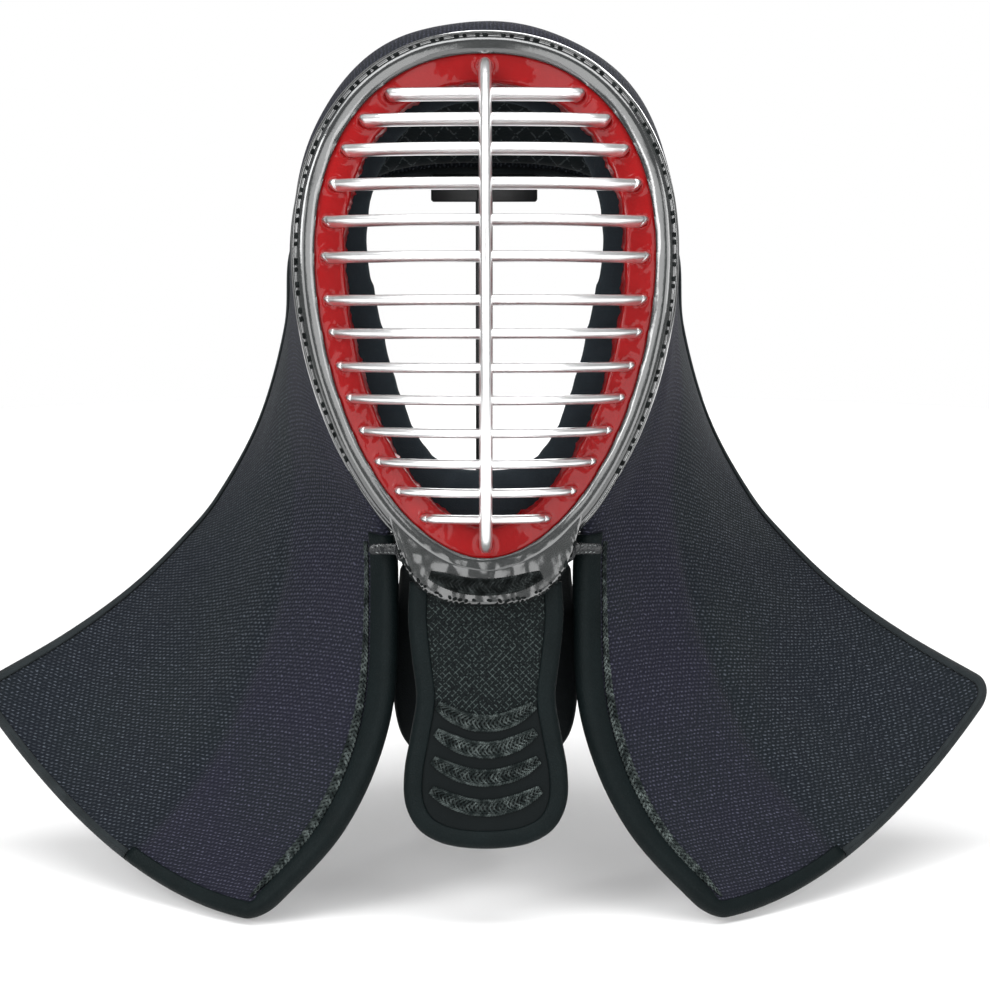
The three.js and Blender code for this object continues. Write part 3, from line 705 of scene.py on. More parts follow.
def make_cloth(material):
    rows, columns = cloth_rows(), 84
    all_shares = np.linspace(0, 1, columns)
    lines = np.array([cloth_middle(row, all_shares) for row in rows])
    steps = np.linalg.norm(np.diff(lines, axis=0), axis=2)
    along = np.vstack([np.zeros(columns), np.cumsum(steps, axis=0)])
    along -= along[len(rows) // 2]
    sections, uvs = [], []
    for i, row in enumerate(rows):
        low, high = cloth_ends(row, 0.35)
        shares = np.linspace(low, high, columns)
        length = row_length(row)
        edge = np.minimum(np.minimum(shares - low, high - shares) * length,
                          max(0.05, (LAST_ROW - abs(row)) * FOOT_RATE))
        half = CLOTH_THICKNESS / 2 * edge_roundness(edge, 4.0, 0.09)
        is_wing = float(smoothstep(abs(row), CHIN_ROW + 0.15, CHIN_ROW + 1.3))
        across = (shares - KNEE_SHARE) * length
        crease = -1.7 * np.exp(-((across / 5.0) ** 2)) * is_wing
        crease += 0.9 * np.exp(-(((shares - KNEE_SHARE - 0.1) * length / 14.0) ** 2)) * is_wing
        soft = 0.9 * smooth_noise(cloth_middle(row, shares), 70, 31) * smoothstep(edge, 8, 30)
        upper = cloth_points(row, shares, half + crease + soft)
        lower = cloth_points(row, shares, -half + crease * 0.8)
        sections.append(np.vstack([upper, lower[::-1]]))
        flat = np.column_stack([across, np.interp(shares, all_shares, along[i])])
        uvs += [flat, flat[::-1]]
    add_piece("quilted_cotton_cloth", [tube(sections)], material, "quilted_cloth",
              np.vstack(uvs))


# Edges of the cloth: stations run round the outline, and each gives a place at any distance in from the edge

def corner_place(at_back, turn, inset):
    arm = CORNER_RADIUS - inset
    a = b = inset
    if arm > 0.01:
        a, b = CORNER_RADIUS - arm * math.cos(turn), CORNER_RADIUS - arm * math.sin(turn)
    row = LAST_ROW - b / FOOT_RATE
    share = a / row_length(row)
    return row, 1 - share if at_back else share


def edge_stations(kind, start, end, count):
    return [(kind, value) for value in np.linspace(start, end, count)]


def edge_place(station, inset):
    kind, value = station
    if kind == "front":
        return value, inset / row_length(value)
    if kind == "back":
        return value, 1 - inset / row_length(value)
    if kind == "foot":
        row = LAST_ROW - inset / FOOT_RATE
        return row, value
    return corner_place(kind == "back corner", value, inset)


def edge_strip(stations, sections):
    """A strip round the cloth's edge. Each section is a closed line of (inset, offset) points."""
    places = [[(*edge_place(station, inset), offset) for inset, offset in section]
              for station, section in zip(stations, sections)]
    return tube([[cloth_points(row, [share], [offset])[0] for row, share, offset in line] for line in places])


def fold_section(width):
    """A strip of leather folded over the edge, as (inset, offset) points."""
    half = CLOTH_THICKNESS / 2 + GAP
    skin = half + LEATHER_THICKNESS
    outer = [(width, half + 0.1), (width - 0.25, skin - 0.35), (width - 0.9, skin - 0.05),
             (width * 0.6, skin + 0.1), (width * 0.3, skin), (1.2, skin - 0.25), (-0.2, skin - 1.2),
             (-1.1, skin - 2.8), (-1.45, 0),
             (-1.1, 2.8 - skin), (-0.2, 1.2 - skin), (1.2, 0.25 - skin), (width * 0.5, -skin),
             (width - 0.9, 0.05 - skin), (width, -half - 0.1)]
    inner = [(width * 0.6, -half - 0.05), (0.6, -half), (-0.1, -half + 1), (-0.25, 0), (-0.1, half - 1),
             (0.6, half), (width * 0.6, half + 0.05)]
    return outer + inner


def make_bindings(leather, tape_material):
    corner_rows = CORNER_RADIUS / FOOT_RATE
    foot_front = CORNER_RADIUS / row_length(LAST_ROW - 0.001)
    front = edge_stations("front", CHIN_ROW + 0.26, LAST_ROW - corner_rows, 70)
    corner = edge_stations("front corner", 0, math.pi / 2, 14)[1:]
    foot = edge_stations("foot", foot_front, KNEE_SHARE, 26)[1:]
    narrowing = np.linspace(LEATHER_WIDTH, LEATHER_FOOT_WIDTH, len(corner) + 1)[1:]
    widths = [LEATHER_WIDTH] * len(front) + list(narrowing) + [LEATHER_FOOT_WIDTH] * len(foot)
    strip = edge_strip(front + corner + foot, [fold_section(width) for width in widths])
    add_pair("leather_edge", [strip], leather, "leather_binding")
    tape = edge_stations("foot", KNEE_SHARE + 0.004, 1 - foot_front, 30)
    tape += edge_stations("back corner", math.pi / 2, 0, 14)[1:]
    tape += edge_stations("back", LAST_ROW - corner_rows, 0, 130)[1:]
    half = edge_strip(tape, [fold_section(TAPE_WIDTH)] * len(tape))[0].reshape(len(tape), -1, 3)
    whole = np.concatenate([half, half[:-1][::-1] * (-1, 1, 1)])
    add_piece("narrow_edge_tape", [tube(whole)], tape_material, "edge_tape")


def plait(path, sides, ups, widths, heights, pitch, strands, thick, corners=7):
    """A flat plait of strands along a path. Each strand swings from side to side and over and under."""
    lengths = path_lengths(path)
    parts = []
    for strand in range(strands):
        phase = 2 * math.pi * (lengths / pitch + strand / strands)
        across = np.sin(phase)[:, None] * (widths * 0.36)[:, None]
        over = (np.sin(2 * phase) * 0.5 + 0.5)[:, None] * (heights * 0.45)[:, None]
        line = path + sides * across + ups * over
        tangents = tangents_of(line)
        up = unit(ups - (tangents * ups).sum(axis=1)[:, None] * tangents)
        parts.append(sweep(line, np.cross(tangents, up), up, superellipse(corners, 0.5, 0.5), thick))
    return parts


def braid_bed(path, sides, ups, widths, heights, corners):
    """The dark band under a plait."""
    return sweep(path, sides, ups, superellipse(corners, 0.5, 0.5, 3), np.column_stack([widths, heights]))


def make_edge_braids(thread, bed_material):
    rows = np.linspace(CHIN_ROW + 0.37, LAST_ROW - 0.17, 420)
    middle = LEATHER_WIDTH + GAP + BRAID_WIDTH / 2
    path, sides, ups = [], [], []
    for row in rows:
        shares = np.array([middle - 0.5, middle, middle + 0.5]) / row_length(row)
        points = cloth_points(row, shares, CLOTH_THICKNESS / 2 + GAP + 0.15)
        path.append(points[1])
        sides.append(points[2] - points[0])
        ups.append(cloth_normals(row, shares[1:2])[0])
    path, sides, ups = np.array(path), unit(sides), np.array(ups)
    share = np.linspace(0, 1, len(rows))
    growth = smoothstep(share, 0.1, 0.6)
    widths = BRAID_WIDTH * (0.62 + 0.5 * growth) * np.minimum(1, (1 - share) * 9 + 0.25)
    heights = BRAID_HEIGHT * (0.75 + 0.35 * growth) * np.minimum(1, (1 - share) * 12 + 0.4)
    parts = plait(path, sides, ups, widths, heights, 7.5, 3, np.column_stack([widths * 0.24, heights * 0.5]))
    bed = braid_bed(path, np.cross(tangents_of(path), ups), ups, widths * 0.78, heights * 0.4, 10)
    add_pair("edge_plait", parts, thread, "edge_braid")
    add_pair("edge_plait_bed", [bed], bed_material)


# Flaps under the chin

FLAP_TOP = CHIN_HEIGHT - RIM_WIDTH - GAP
FLAP_PLACE = (ring_depth(FLAP_TOP + GAP) + APRON_THICKNESS / 2 - 0.5 + GAP + LEATHER_THICKNESS + GAP
              + FLAP_THICKNESS / 2)


def flap_depth(z):
    return FLAP_PLACE - FLAP_LEAD * max(0, (FLAP_TOP - z) / FLAP_LENGTH) ** 1.5


def flap_outline(outline, length, half_width, top):
    """Points round a flap, from its left top corner by its lower edge to its right one, as (x, z)."""
    right = [(half * half_width, 0, top - down * length) for down, half in outline]
    left = [(-x, y, z) for x, y, z in right]
    return spline_points(left + right[::-1], 8)[:, [0, 2]]


def add_flap(name, outline, depth_at, thickness, inset, columns, material, node):
    """A padded slab with rounded edges inside an outline."""
    left = outline[:len(outline) // 2 + 1]
    heights = np.linspace(left[0, 1], left[-1, 1] + inset, 110)
    order = np.argsort(left[:, 1])
    widths = np.interp(heights, left[order, 1], -left[order, 0]) - inset
    even = np.linspace(-1, 1, columns)
    across = np.sin(even * math.pi / 2) * 0.35 + even * 0.65
    sections, uvs = [], []
    for z, width in zip(heights, widths):
        xs = across * max(width, 1.0)
        half = thickness / 2 * edge_roundness(np.minimum(width - abs(xs), z - heights[-1]), 3.0, 0.05)
        front, back = (np.column_stack([xs, depth_at(z) + offset, np.full(columns, z)])
                       for offset in (-half, half))
        sections.append(np.vstack([front, back[::-1]]))
        uvs += [front[:, [0, 2]], front[::-1, [0, 2]]]
    add_piece(name, [tube(sections)], material, node, np.vstack(uvs))


def border_strip(outline, section):
    """A strip of leather folded round the throat flap's edge. The section's points are (inset, back)."""
    tangents = unit(np.gradient(outline, axis=0))
    outward = np.column_stack([tangents[:, 1], -tangents[:, 0]])
    quarter = len(outline) // 4
    if outward[quarter] @ (outline[quarter] - outline.mean(axis=0)) < 0:
        outward = -outward
    sections = []
    for (x, z), (nx, nz) in zip(outline, outward):
        sections.append([(x - nx * inset, flap_depth(z - nz * inset) + back, min(z - nz * inset, FLAP_TOP))
                         for inset, back in section])
    return tube(sections)


def flap_fold(width):
    half = FLAP_THICKNESS / 2 + GAP
    skin = half + LEATHER_THICKNESS
    outer = [(width, -half - 0.1), (width - 0.3, -skin + 0.45), (width - 1.1, -skin),
             (width * 0.55, -skin - 0.25), (width * 0.25, -skin), (1.0, -skin + 0.4), (-0.5, -skin + 1.6),
             (-1.3, -1.2), (-1.45, 0.6), (-0.9, skin - 2.0), (0.6, skin - 0.4), (width * 0.3, skin),
             (width - 0.8, skin), (width, half + 0.1)]
    inner = [(width * 0.6, half), (0.8, half), (-0.1, half - 1.2), (-0.2, 0), (-0.1, 1.2 - half),
             (0.8, -half), (width * 0.6, -half)]
    return outer + inner


def make_flaps(stitched, border_leather, inner_leather):
    outline = flap_outline(FLAP_OUTLINE, FLAP_LENGTH, FLAP_HALF_WIDTH, FLAP_TOP)
    add_flap("throat_flap_panel", outline, flap_depth, FLAP_THICKNESS, 0.3, 56, stitched, "throat_flap")
    border = border_strip(outline, flap_fold(FLAP_BORDER))
    add_piece("throat_flap_rolled_border", [border], border_leather, "throat_flap_border")
    top = CHIN_HEIGHT + 10.5
    front = ring_depth(CHIN_HEIGHT) + RED_BACK - INNER_FLAP_THICKNESS / 2 - 0.3

    def inner_depth(z):
        return front + INNER_FLAP_LEAN * smoothstep(top - z, 4, 40)

    outline = flap_outline(INNER_FLAP_OUTLINE, INNER_FLAP_LENGTH, INNER_FLAP_HALF_WIDTH, top)
    add_flap("inner_throat_flap_panel", outline, inner_depth, INNER_FLAP_THICKNESS, 0.2, 40, inner_leather,
             "inner_throat_flap")


def ridge_parts(middle_height, drop, reach, front_at):
    """A plaited ridge with a twisted cord along each edge, and its bed."""
    share = np.linspace(-1, 1, 150)
    zs = middle_height + drop * share**2
    widths = RIDGE_WIDTH * (1 - 0.6 * share**4)
    heights = np.full(len(share), RIDGE_HEIGHT)
    path = np.column_stack([share * reach, [front_at(z) - GAP - 0.25 for z in zs], zs])
    ups = np.tile([0.0, -1.0, 0.0], (len(path), 1))
    sides = np.cross(tangents_of(path), ups)
    parts = plait(path, sides, ups, widths * 0.82, heights, 8.6, 4,
                  np.column_stack([widths * 0.115, heights * 0.5]), 6)
    for edge in (-1, 1):
        base = path + sides * (edge * widths * 0.42)[:, None] + ups * 0.55
        for strand in (0, math.pi):
            turn = path_lengths(path) / 2.6 * 2 * math.pi + strand
            line = base + sides * (np.cos(turn) * 0.42)[:, None] + ups * (np.sin(turn) * 0.42)[:, None]
            parts.append(sweep(line, sides, ups, superellipse(6, 0.52, 0.52)))
    return parts, braid_bed(path, sides, ups, widths * 0.8, heights * 0.5, 8)


def apron_front(z):
    return ring_depth(z) - APRON_THICKNESS / 2 - 0.5


def flap_front(z):
    return flap_depth(z) - FLAP_THICKNESS / 2


def make_ridges(thread, top_thread, bed_material):
    rows = [("top", CHIN_HEIGHT - 12, 6, RIDGE_REACH, apron_front, top_thread)]
    rows += [(i + 1, FLAP_TOP - down * FLAP_LENGTH, RIDGE_DROP, reach * FLAP_HALF_WIDTH, flap_front, thread)
             for i, (down, reach) in enumerate(RIDGE_ROWS)]
    for word, height, drop, reach, front_at, material in rows:
        parts, bed = ridge_parts(height, drop, reach, front_at)
        add_piece(f"throat_plait_{word}", parts, material, f"throat_braid_{word}")
        add_piece(f"throat_plait_bed_{word}", [bed], bed_material)


# Chin tabs

def make_chin_tabs(leather, thread):
    z = CHIN_HEIGHT + 5
    start = np.array([38.6, ring_depth(z) + APRON_THICKNESS / 2 - 0.5 + GAP + TAB_THICKNESS / 2, z])
    direction = np.array([1, 0.35, 0]) / math.hypot(1, 0.35)
    facing = np.array([direction[1], -direction[0], 0])
    stations = np.linspace(0, TAB_LENGTH, 26)
    rise = np.sin(stations / TAB_LENGTH * math.pi) * 0.5
    path = start + np.outer(stations, direction) + np.outer(rise, UP)
    swell = 1 - 0.55 * np.clip((stations - (TAB_LENGTH - 2.5)) / 2.5, 0, 1) ** 2
    section = superellipse(16, TAB_WIDTH / 2, TAB_THICKNESS / 2, 4)
    strap = sweep(path, [UP] * 26, [facing] * 26, section, np.column_stack([swell, np.ones(26)]))
    turns = np.linspace(0, 2 * math.pi, 29)[:-1]
    ways = np.outer(np.cos(turns), direction) + np.outer(np.sin(turns), UP)
    loop = (start + direction * 1.6 + facing * 0.6
            + np.outer(np.cos(turns) * 2.4, direction) + np.outer(np.sin(turns) * 4.3, UP))
    grid = np.array([loop + out * ways + over * facing for out, over in superellipse(10, 1.35, 1.2)])
    stitches = []
    for along in np.arange(6.2, TAB_LENGTH - 2.4, 2.1):
        for height in (-1.65, 1.65):
            middle = start + direction * along + facing * (TAB_THICKNESS / 2 + 0.05)
            middle += UP * (height + math.sin(along / TAB_LENGTH * math.pi) * 0.5)
            reach = np.linspace(-0.75, 0.75, 5)[:, None] * (direction + UP * 0.3)
            stitches.append(stitch(middle + reach, 0.55, 0.45, facing, 6))
    add_pair("chin_strap", [strap, ring(grid.transpose(1, 0, 2))], leather, "chin_tab")
    add_pair("chin_strap_thread", stitches, thread)


# Inside of the crown

def make_crown_lining(material):
    columns = 70
    high = -CLOTH_THICKNESS / 2 - GAP - 0.2
    rows = np.linspace(-LINING_ROWS, LINING_ROWS, 130)
    down_rows = path_lengths([cloth_middle(row, [KNEE_SHARE])[0] for row in rows])
    sections, uvs = [], []
    for row, down in zip(rows, down_rows):
        length = row_length(row)
        last = 1 - (TAPE_WIDTH + 2.4) / length
        shares = np.linspace(0.17, last, columns)
        from_edge = np.minimum(np.minimum(shares - 0.17, last - shares) * length,
                               (LINING_ROWS - abs(row)) * 42)
        flat = np.column_stack([shares * length, np.full(columns, down)])
        depth = (LINING_THICKNESS - 1.2 + diamond_height(*flat.T)) * edge_roundness(from_edge, 5.0, 0.06)
        upper, lower = cloth_points(row, shares, high), cloth_points(row, shares, high - depth)
        sections.append(np.vstack([upper, lower[::-1]]))
        uvs += [flat, flat[::-1]]
    add_piece("quilted_crown_lining", [tube(sections)], material, "crown_lining",
              np.vstack(uvs))


def diamond_height(u, v):
    """Puffed diamonds, 1 at their middles and 0 along the stitches."""
    rise, fall = (np.sin(math.pi * along / QUILT_PITCH) for along in (u + v, u - v))
    return np.sqrt(np.abs(rise * fall))


# Face pad, puffed up by a cloth simulation

def make_face_pad(material):
    front, depth = RED_BACK + GAP + 1.2, FACE_PAD_DEPTH - 2.4
    section = [(0.04, 0), (0.35, 0), (0.66, 0), (0.86, 0.1), (0.96, 0.28), (0.98, 0.5), (0.96, 0.72),
               (0.86, 0.9), (0.66, 1), (0.35, 1), (0.04, 1), (0.02, 0.5)]
    rows = []
    for angle in np.linspace(0, 2 * math.pi, 96, endpoint=False):
        outer = np.array(outline_point(RED_EDGE, angle, -4))
        inner = np.array(outline_point(FACE_EDGE, angle))
        start = ring_depth(outline_point(RED_EDGE, angle)[1]) + front
        rows.append([(x, start + back * depth, z)
                     for inward, back in section for x, z in [outer + (inner - outer) * inward]])
    points, faces = ring(np.array(rows))
    piece = make_mesh("padded_face_ring", world(points), faces)
    face_outward(piece)
    puff_up(piece, 0.005, 4.0, 0.0045)
    subdivision = piece.modifiers.new("Subdivision", "SUBSURF")
    subdivision.levels = subdivision.render_levels = 1
    apply_modifiers(piece)
    piece.data.polygons.foreach_set("use_smooth", [True] * len(piece.data.polygons))
    finish_piece(piece, material, "face_pad")


def apply_modifiers(piece):
    depsgraph = bpy.context.evaluated_depsgraph_get()
    mesh = bpy.data.meshes.new_from_object(piece.evaluated_get(depsgraph))
    old = piece.data
    piece.modifiers.clear()
    piece.data = mesh
    bpy.data.meshes.remove(old)


def puff_up(piece, voxel, pressure, cap):
    """Fills a padded piece with air, and lets no point move further than the cap."""
    remesh = piece.modifiers.new("Remesh", "REMESH")
    remesh.mode, remesh.voxel_size = "VOXEL", voxel
    apply_modifiers(piece)
    start = np.zeros(len(piece.data.vertices) * 3)
    moved = start.copy()
    piece.data.vertices.foreach_get("co", start)
    cloth = piece.modifiers.new("Cloth", "CLOTH")
    cloth.settings.use_pressure = True
    cloth.settings.uniform_pressure_force = pressure
    cloth.settings.effector_weights.gravity = 0
    cloth.settings.quality = 6
    cloth.collision_settings.use_collision = False
    cloth.collision_settings.use_self_collision = False
    cloth.point_cache.frame_start, cloth.point_cache.frame_end = 1, 20
    for step in range(1, 21):
        bpy.context.scene.frame_set(step)
    depsgraph = bpy.context.evaluated_depsgraph_get()
    piece.evaluated_get(depsgraph).data.vertices.foreach_get("co", moved)
    move = (moved - start).reshape(-1, 3)
    move *= np.minimum(1, cap / np.maximum(np.linalg.norm(move, axis=1)[:, None], 1e-9))
    piece.modifiers.clear()
    bpy.context.scene.frame_set(1)
    piece.data.vertices.foreach_set("co", start + move.ravel())
    piece.data.update()


# Display stand

def rounded_block(low, high, radius, axis):
    """A long block with rounded edges and softened ends, drawn along one axis."""
    low, high = np.array(low, float), np.array(high, float)
    across, upward = [k for k in range(3) if k != axis]
    middle, half = (low + high) / 2, (high - low) / 2
    corner = round_corners([(-half[across], -half[upward]), (half[across], -half[upward]),
                            (half[across], half[upward]), (-half[across], half[upward])], radius, 5)
    stations = [(0.0, 1.0), (0.3, 0.45), (1.0, 0.0)]
    stations = [(low[axis] + d * radius, r * radius) for d, r in stations]
    stations += [(low[axis] + high[axis] - d, r) for d, r in stations[::-1]]
    points = []
    for place, shrink in stations:
        scale = 1 - shrink / np.array([half[across], half[upward]])
        for a, b in corner * scale:
            point = np.zeros(3)
            point[axis], point[across], point[upward] = place, middle[across] + a, middle[upward] + b
            points.append(point)
    return np.array(points), tube_faces(len(stations), len(corner))


def make_stand(material):
    low, high = np.array(stand_low) * 1000, np.array(stand_high) * 1000
    middle = STAND_MIDDLE + SHIFT_Y
    front, back = middle - POST_SIZE / 2, middle + POST_SIZE / 2
    vertices, faces = join_parts([
        rounded_block((-POST_SIZE / 2, front, 3.0), (POST_SIZE / 2, back, high[2] - 1.5), 0.9, 2),
        rounded_block((-28, front, high[2] - CROSSBAR_HEIGHT), (28, back, high[2]), 1.2, 0),
        rounded_block((low[0], low[1], 0.0), (high[0], high[1], 6.0), 1.6, 2),
    ])
    piece = make_mesh("display_stand", vertices / 1000, faces)
    face_outward(piece)
    finish_piece(piece, material, "stand")


# Materials

class Value:
    """A number in a node tree. It takes +, -, * and / as a plain one does."""

    def __init__(self, nodes, socket):
        self.nodes, self.socket = nodes, socket

    def __add__(self, other):
        return self.nodes.math("ADD", self, other)

    def __sub__(self, other):
        return self.nodes.math("SUBTRACT", self, other)

    def __rsub__(self, other):
        return self.nodes.math("SUBTRACT", other, self)

    def __mul__(self, other):
        return self.nodes.math("MULTIPLY", self, other)

    def __truediv__(self, other):
        return self.nodes.math("DIVIDE", self, other)


SHADER_INPUTS = {"color": "Base Color", "rough": "Roughness", "metal": "Metallic", "normal": "Normal",
                 "coat": "Coat Weight", "coat_rough": "Coat Roughness", "coat_normal": "Coat Normal",
                 "coat_ior": "Coat IOR", "sheen": "Sheen Weight", "sheen_rough": "Sheen Roughness",
                 "sheen_tint": "Sheen Tint", "spec": "Specular IOR Level"}
MIX_A, MIX_B, MIX_COLOR = 6, 7, 2


class Nodes:
    """Short calls for building one material's node tree."""

    def __init__(self, name):
        self.material = bpy.data.materials.new(name)
        self.material.use_nodes = True
        self.tree = self.material.node_tree
        self.shader = self.tree.nodes["Principled BSDF"]

    def put(self, socket, value):
        if isinstance(value, Value):
            self.tree.links.new(value.socket, socket)
        else:
            socket.default_value = (*value, 1) if socket.type == "RGBA" else value

    def add(self, kind, inputs, output=0, **settings):
        """One output of a new node. Its inputs are plain values or the outputs of other nodes."""
        node = self.tree.nodes.new(kind)
        for key, value in settings.items():
            setattr(node, key, value)
        for key, value in inputs.items():
            self.put(node.inputs[key], value)
        return Value(self, node.outputs[output])

    def math(self, operation, *values):
        return self.add("ShaderNodeMath", dict(enumerate(values)), operation=operation)

    def mix(self, factor, a, b):
        return self.add("ShaderNodeMix", {"Factor": factor, MIX_A: a, MIX_B: b}, MIX_COLOR, data_type="RGBA")

    def ramp(self, value, low, high):
        return self.add("ShaderNodeMapRange", {"Value": value, "From Min": low, "From Max": high},
                        interpolation_type="SMOOTHSTEP")

    def place(self):
        """Object coordinates, in metres."""
        return self.add("ShaderNodeTexCoord", {}, "Object")

    def stretched(self, *scale):
        return self.add("ShaderNodeMapping", {"Vector": self.place(), "Scale": scale})

    def split(self, vector):
        return [self.add("ShaderNodeSeparateXYZ", {"Vector": vector}, axis) for axis in "XYZ"]

    def flat(self):
        """The two flat coordinates of the piece, in millimetres."""
        return self.split(self.add("ShaderNodeTexCoord", {}, "UV"))[:2]

    def noise(self, scale, detail=3.0, roughness=0.5, where=None):
        return self.add("ShaderNodeTexNoise", {"Vector": where or self.place(), "Scale": scale,
                                               "Detail": detail, "Roughness": roughness})

    def cells(self, scale):
        """How far a place is from the edge of its cell, for the pores of leather."""
        return self.add("ShaderNodeTexVoronoi", {"Vector": self.place(), "Scale": scale},
                        feature="DISTANCE_TO_EDGE")

    def ribs(self, along):
        return self.math("ABSOLUTE", self.math("SINE", along))

    def diamonds(self, pitch, shift, low, high):
        """Crossing seams on the flat coordinates."""
        u, v = self.flat()
        return self.math("MAXIMUM", *(
            self.ramp(self.math("ABSOLUTE", self.math("FRACT", along / pitch + shift) - 0.5), low, high)
            for along in (u + v, u - v)))

    def bump(self, height, distance, strength, below=None):
        inputs = {"Height": height, "Strength": strength, "Distance": distance}
        return self.add("ShaderNodeBump", {**inputs, "Normal": below} if below else inputs)

    def set(self, **values):
        for key, value in values.items():
            self.put(self.shader.inputs[SHADER_INPUTS[key]], value)
        return self.material


def bar_metal():
    n = Nodes("satin_aluminium")
    scratches, dull = n.noise(2.0, 4, where=n.stretched(60, 900, 900)), n.noise(90)
    return n.set(color=n.mix(dull, (0.93, 0.93, 0.935), (0.985, 0.985, 0.985)), metal=1.0,
                 rough=scratches * 0.14 + dull * 0.1 + 0.2, normal=n.bump(scratches, 0.00003, 0.5))


def red_lacquer():
    n = Nodes("red_lacquer")
    broad, fine = n.noise(45), n.noise(330, 4, 0.6)
    wear = n.ramp(n.noise(520, 2), 0.66, 0.78)
    color = n.mix(broad, (0.18, 0.0014, 0.0022), (0.29, 0.0024, 0.0034))
    return n.set(color=n.mix(wear * 0.35, color, (0.2, 0.004, 0.005)), rough=fine * 0.16 + 0.3, spec=0.1,
                 normal=n.bump(broad * 0.7 + fine * 0.3, 0.0011, 0.7),
                 coat=0.4, coat_rough=0.05, coat_normal=n.bump(broad, 0.0007, 0.6))


def black_lacquer():
    """Black lacquer, with crumples on the apron below the chin."""
    n = Nodes("black_lacquer")
    broad, fine = n.noise(38, 2), n.noise(260, 4, 0.65)
    streak = n.noise(120, 2, where=n.stretched(1, 1, 3.5))
    apron = 1.0 - n.ramp(n.split(n.place())[2], 0.178, 0.2)
    ripple = broad + n.noise(44, 2) * apron * 14.0 + fine * 0.2
    return n.set(color=n.mix(fine, (0.007, 0.009, 0.009), (0.016, 0.019, 0.019)), rough=streak * 0.16 + 0.14,
                 spec=0.4, normal=n.bump(broad * 0.75 + fine * 0.25, 0.0006, 0.55),
                 coat=1.0, coat_rough=0.13, coat_ior=1.9, coat_normal=n.bump(ripple, 0.0005, 0.6))


def indigo_cotton():
    """Rows of small staggered grains, as thick stitched cotton has, each grain painted lighter towards its
    middle as a painted highlight.
    """
    n = Nodes("indigo_quilted_cotton")
    u, v = n.flat()
    grain_across, grain_down = 2.25, 2.05
    wander = (n.noise(330, 2) - 0.5) * 1.25
    line = v / grain_down + wander * 0.8
    row = n.math("FLOOR", line)
    in_row = n.math("FRACT", line) - 0.5
    column = u / grain_across + n.math("FLOORED_MODULO", row, 2.0) * 0.5 + wander
    in_column = n.math("FRACT", column) - 0.5
    cell = n.add("ShaderNodeCombineXYZ", {"X": n.math("FLOOR", column), "Y": row})
    chance = n.add("ShaderNodeTexWhiteNoise", {"Vector": cell}, noise_dimensions="2D")
    a, b = (in_column + in_row * 0.3) * 2.1, in_row * 2.7
    far = n.math("SQRT", a * a + b * b)
    # Painted highlight: each grain, most of all its middle, is mixed towards the light colour
    grain = 1.0 - n.ramp(far, 0.35, 1.15)
    painted_grain_highlight = (1.0 - n.ramp(far, 0.1, 0.75)) * (chance * 1.15 + 0.05)
    # Painted shade: the strip in front of the wing's crease is painted in another tone, standing for the
    # shading where the cloth turns at the fold
    is_front = 1.0 - n.ramp(u, -7.0, 3.0)
    dark = n.mix(is_front, (0.0052, 0.0074, 0.0112), (0.0085, 0.0088, 0.0165))
    light = n.mix(is_front, (0.088, 0.102, 0.124), (0.080, 0.082, 0.122))
    dark = n.mix(n.ramp(n.noise(14, 2), 0.35, 0.7) * 0.45, dark, (0.0065, 0.0105, 0.0105))
    return n.set(color=n.mix(painted_grain_highlight * 0.62, n.mix(grain * 0.13, dark, light), light), rough=0.88, spec=0.12,
                 sheen=0.04, sheen_rough=0.5, normal=n.bump(grain + n.noise(1500, 2) * 0.25, 0.0005, 0.9))


def leather(name, dark, light):
    n = Nodes(name)
    pores, soft, worn = n.ramp(n.cells(700.0), 0.0, 0.22), n.noise(60), n.noise(210, 4)
    return n.set(color=n.mix(soft * (pores * 0.5 + 0.5), dark, light), rough=worn * 0.2 + 0.45, spec=0.1,
                 normal=n.bump(pores + worn * 0.6, 0.00012, 0.7, n.bump(soft, 0.0006, 0.3)))


def tape_cotton():
    """Narrow tape with a fine slanting weave."""
    n = Nodes("woven_edge_tape")
    x, y, z = n.split(n.place())
    ribs = n.ribs((x + y + z) * 3900.0)
    return n.set(color=n.mix(ribs * n.noise(120), (0.007, 0.010, 0.011), (0.034, 0.042, 0.046)), rough=0.8,
                 sheen=0.03, spec=0.15, normal=n.bump(ribs, 0.00025, 0.8))


def braid_thread(name, dark, light):
    """Twisted cotton thread, with a painted highlight along its twists."""
    n = Nodes(name)
    x, y, z = n.split(n.place())
    twist_and_highlight = n.ribs((x * 1.3 + (z - y)) * 2700.0 + n.noise(160, 2) * 6.0)
    # Painted highlight: the colour is mixed towards the light colour along each twist
    return n.set(color=n.mix(twist_and_highlight * n.ramp(n.noise(260), 0.35, 0.75), dark, light), rough=0.6, spec=0.06,
                 normal=n.bump(twist_and_highlight, 0.0003, 0.8))


def stitched_leather():
    """Leather whose upper part, down to the first ridge, is sewn in small diamonds."""
    n = Nodes("diamond_stitched_leather")
    u, v = n.flat()
    first_down, first_reach = RIDGE_ROWS[0]
    reach = u / (first_reach * FLAP_HALF_WIDTH)
    low = reach * reach * RIDGE_DROP + (FLAP_TOP - first_down * FLAP_LENGTH)
    sewn = n.ramp(v - low, -1.0, 1.0) * n.ramp(n.math("ABSOLUTE", u), 32.0, 30.5)
    seam = n.diamonds(3.25, 0.0, 0.39, 0.48) * sewn
    thread = seam * n.ramp(n.noise(900, 2), 0.38, 0.62)
    color = n.mix(n.noise(60), (0.0010, 0.0026, 0.0030), (0.0024, 0.0045, 0.0050))
    return n.set(color=n.mix(thread * 0.85, color, (0.068, 0.090, 0.086)), rough=0.5, spec=0.1,
                 normal=n.bump(n.cells(800.0) * 0.3 - seam + thread * 0.8, 0.0004, 0.9))


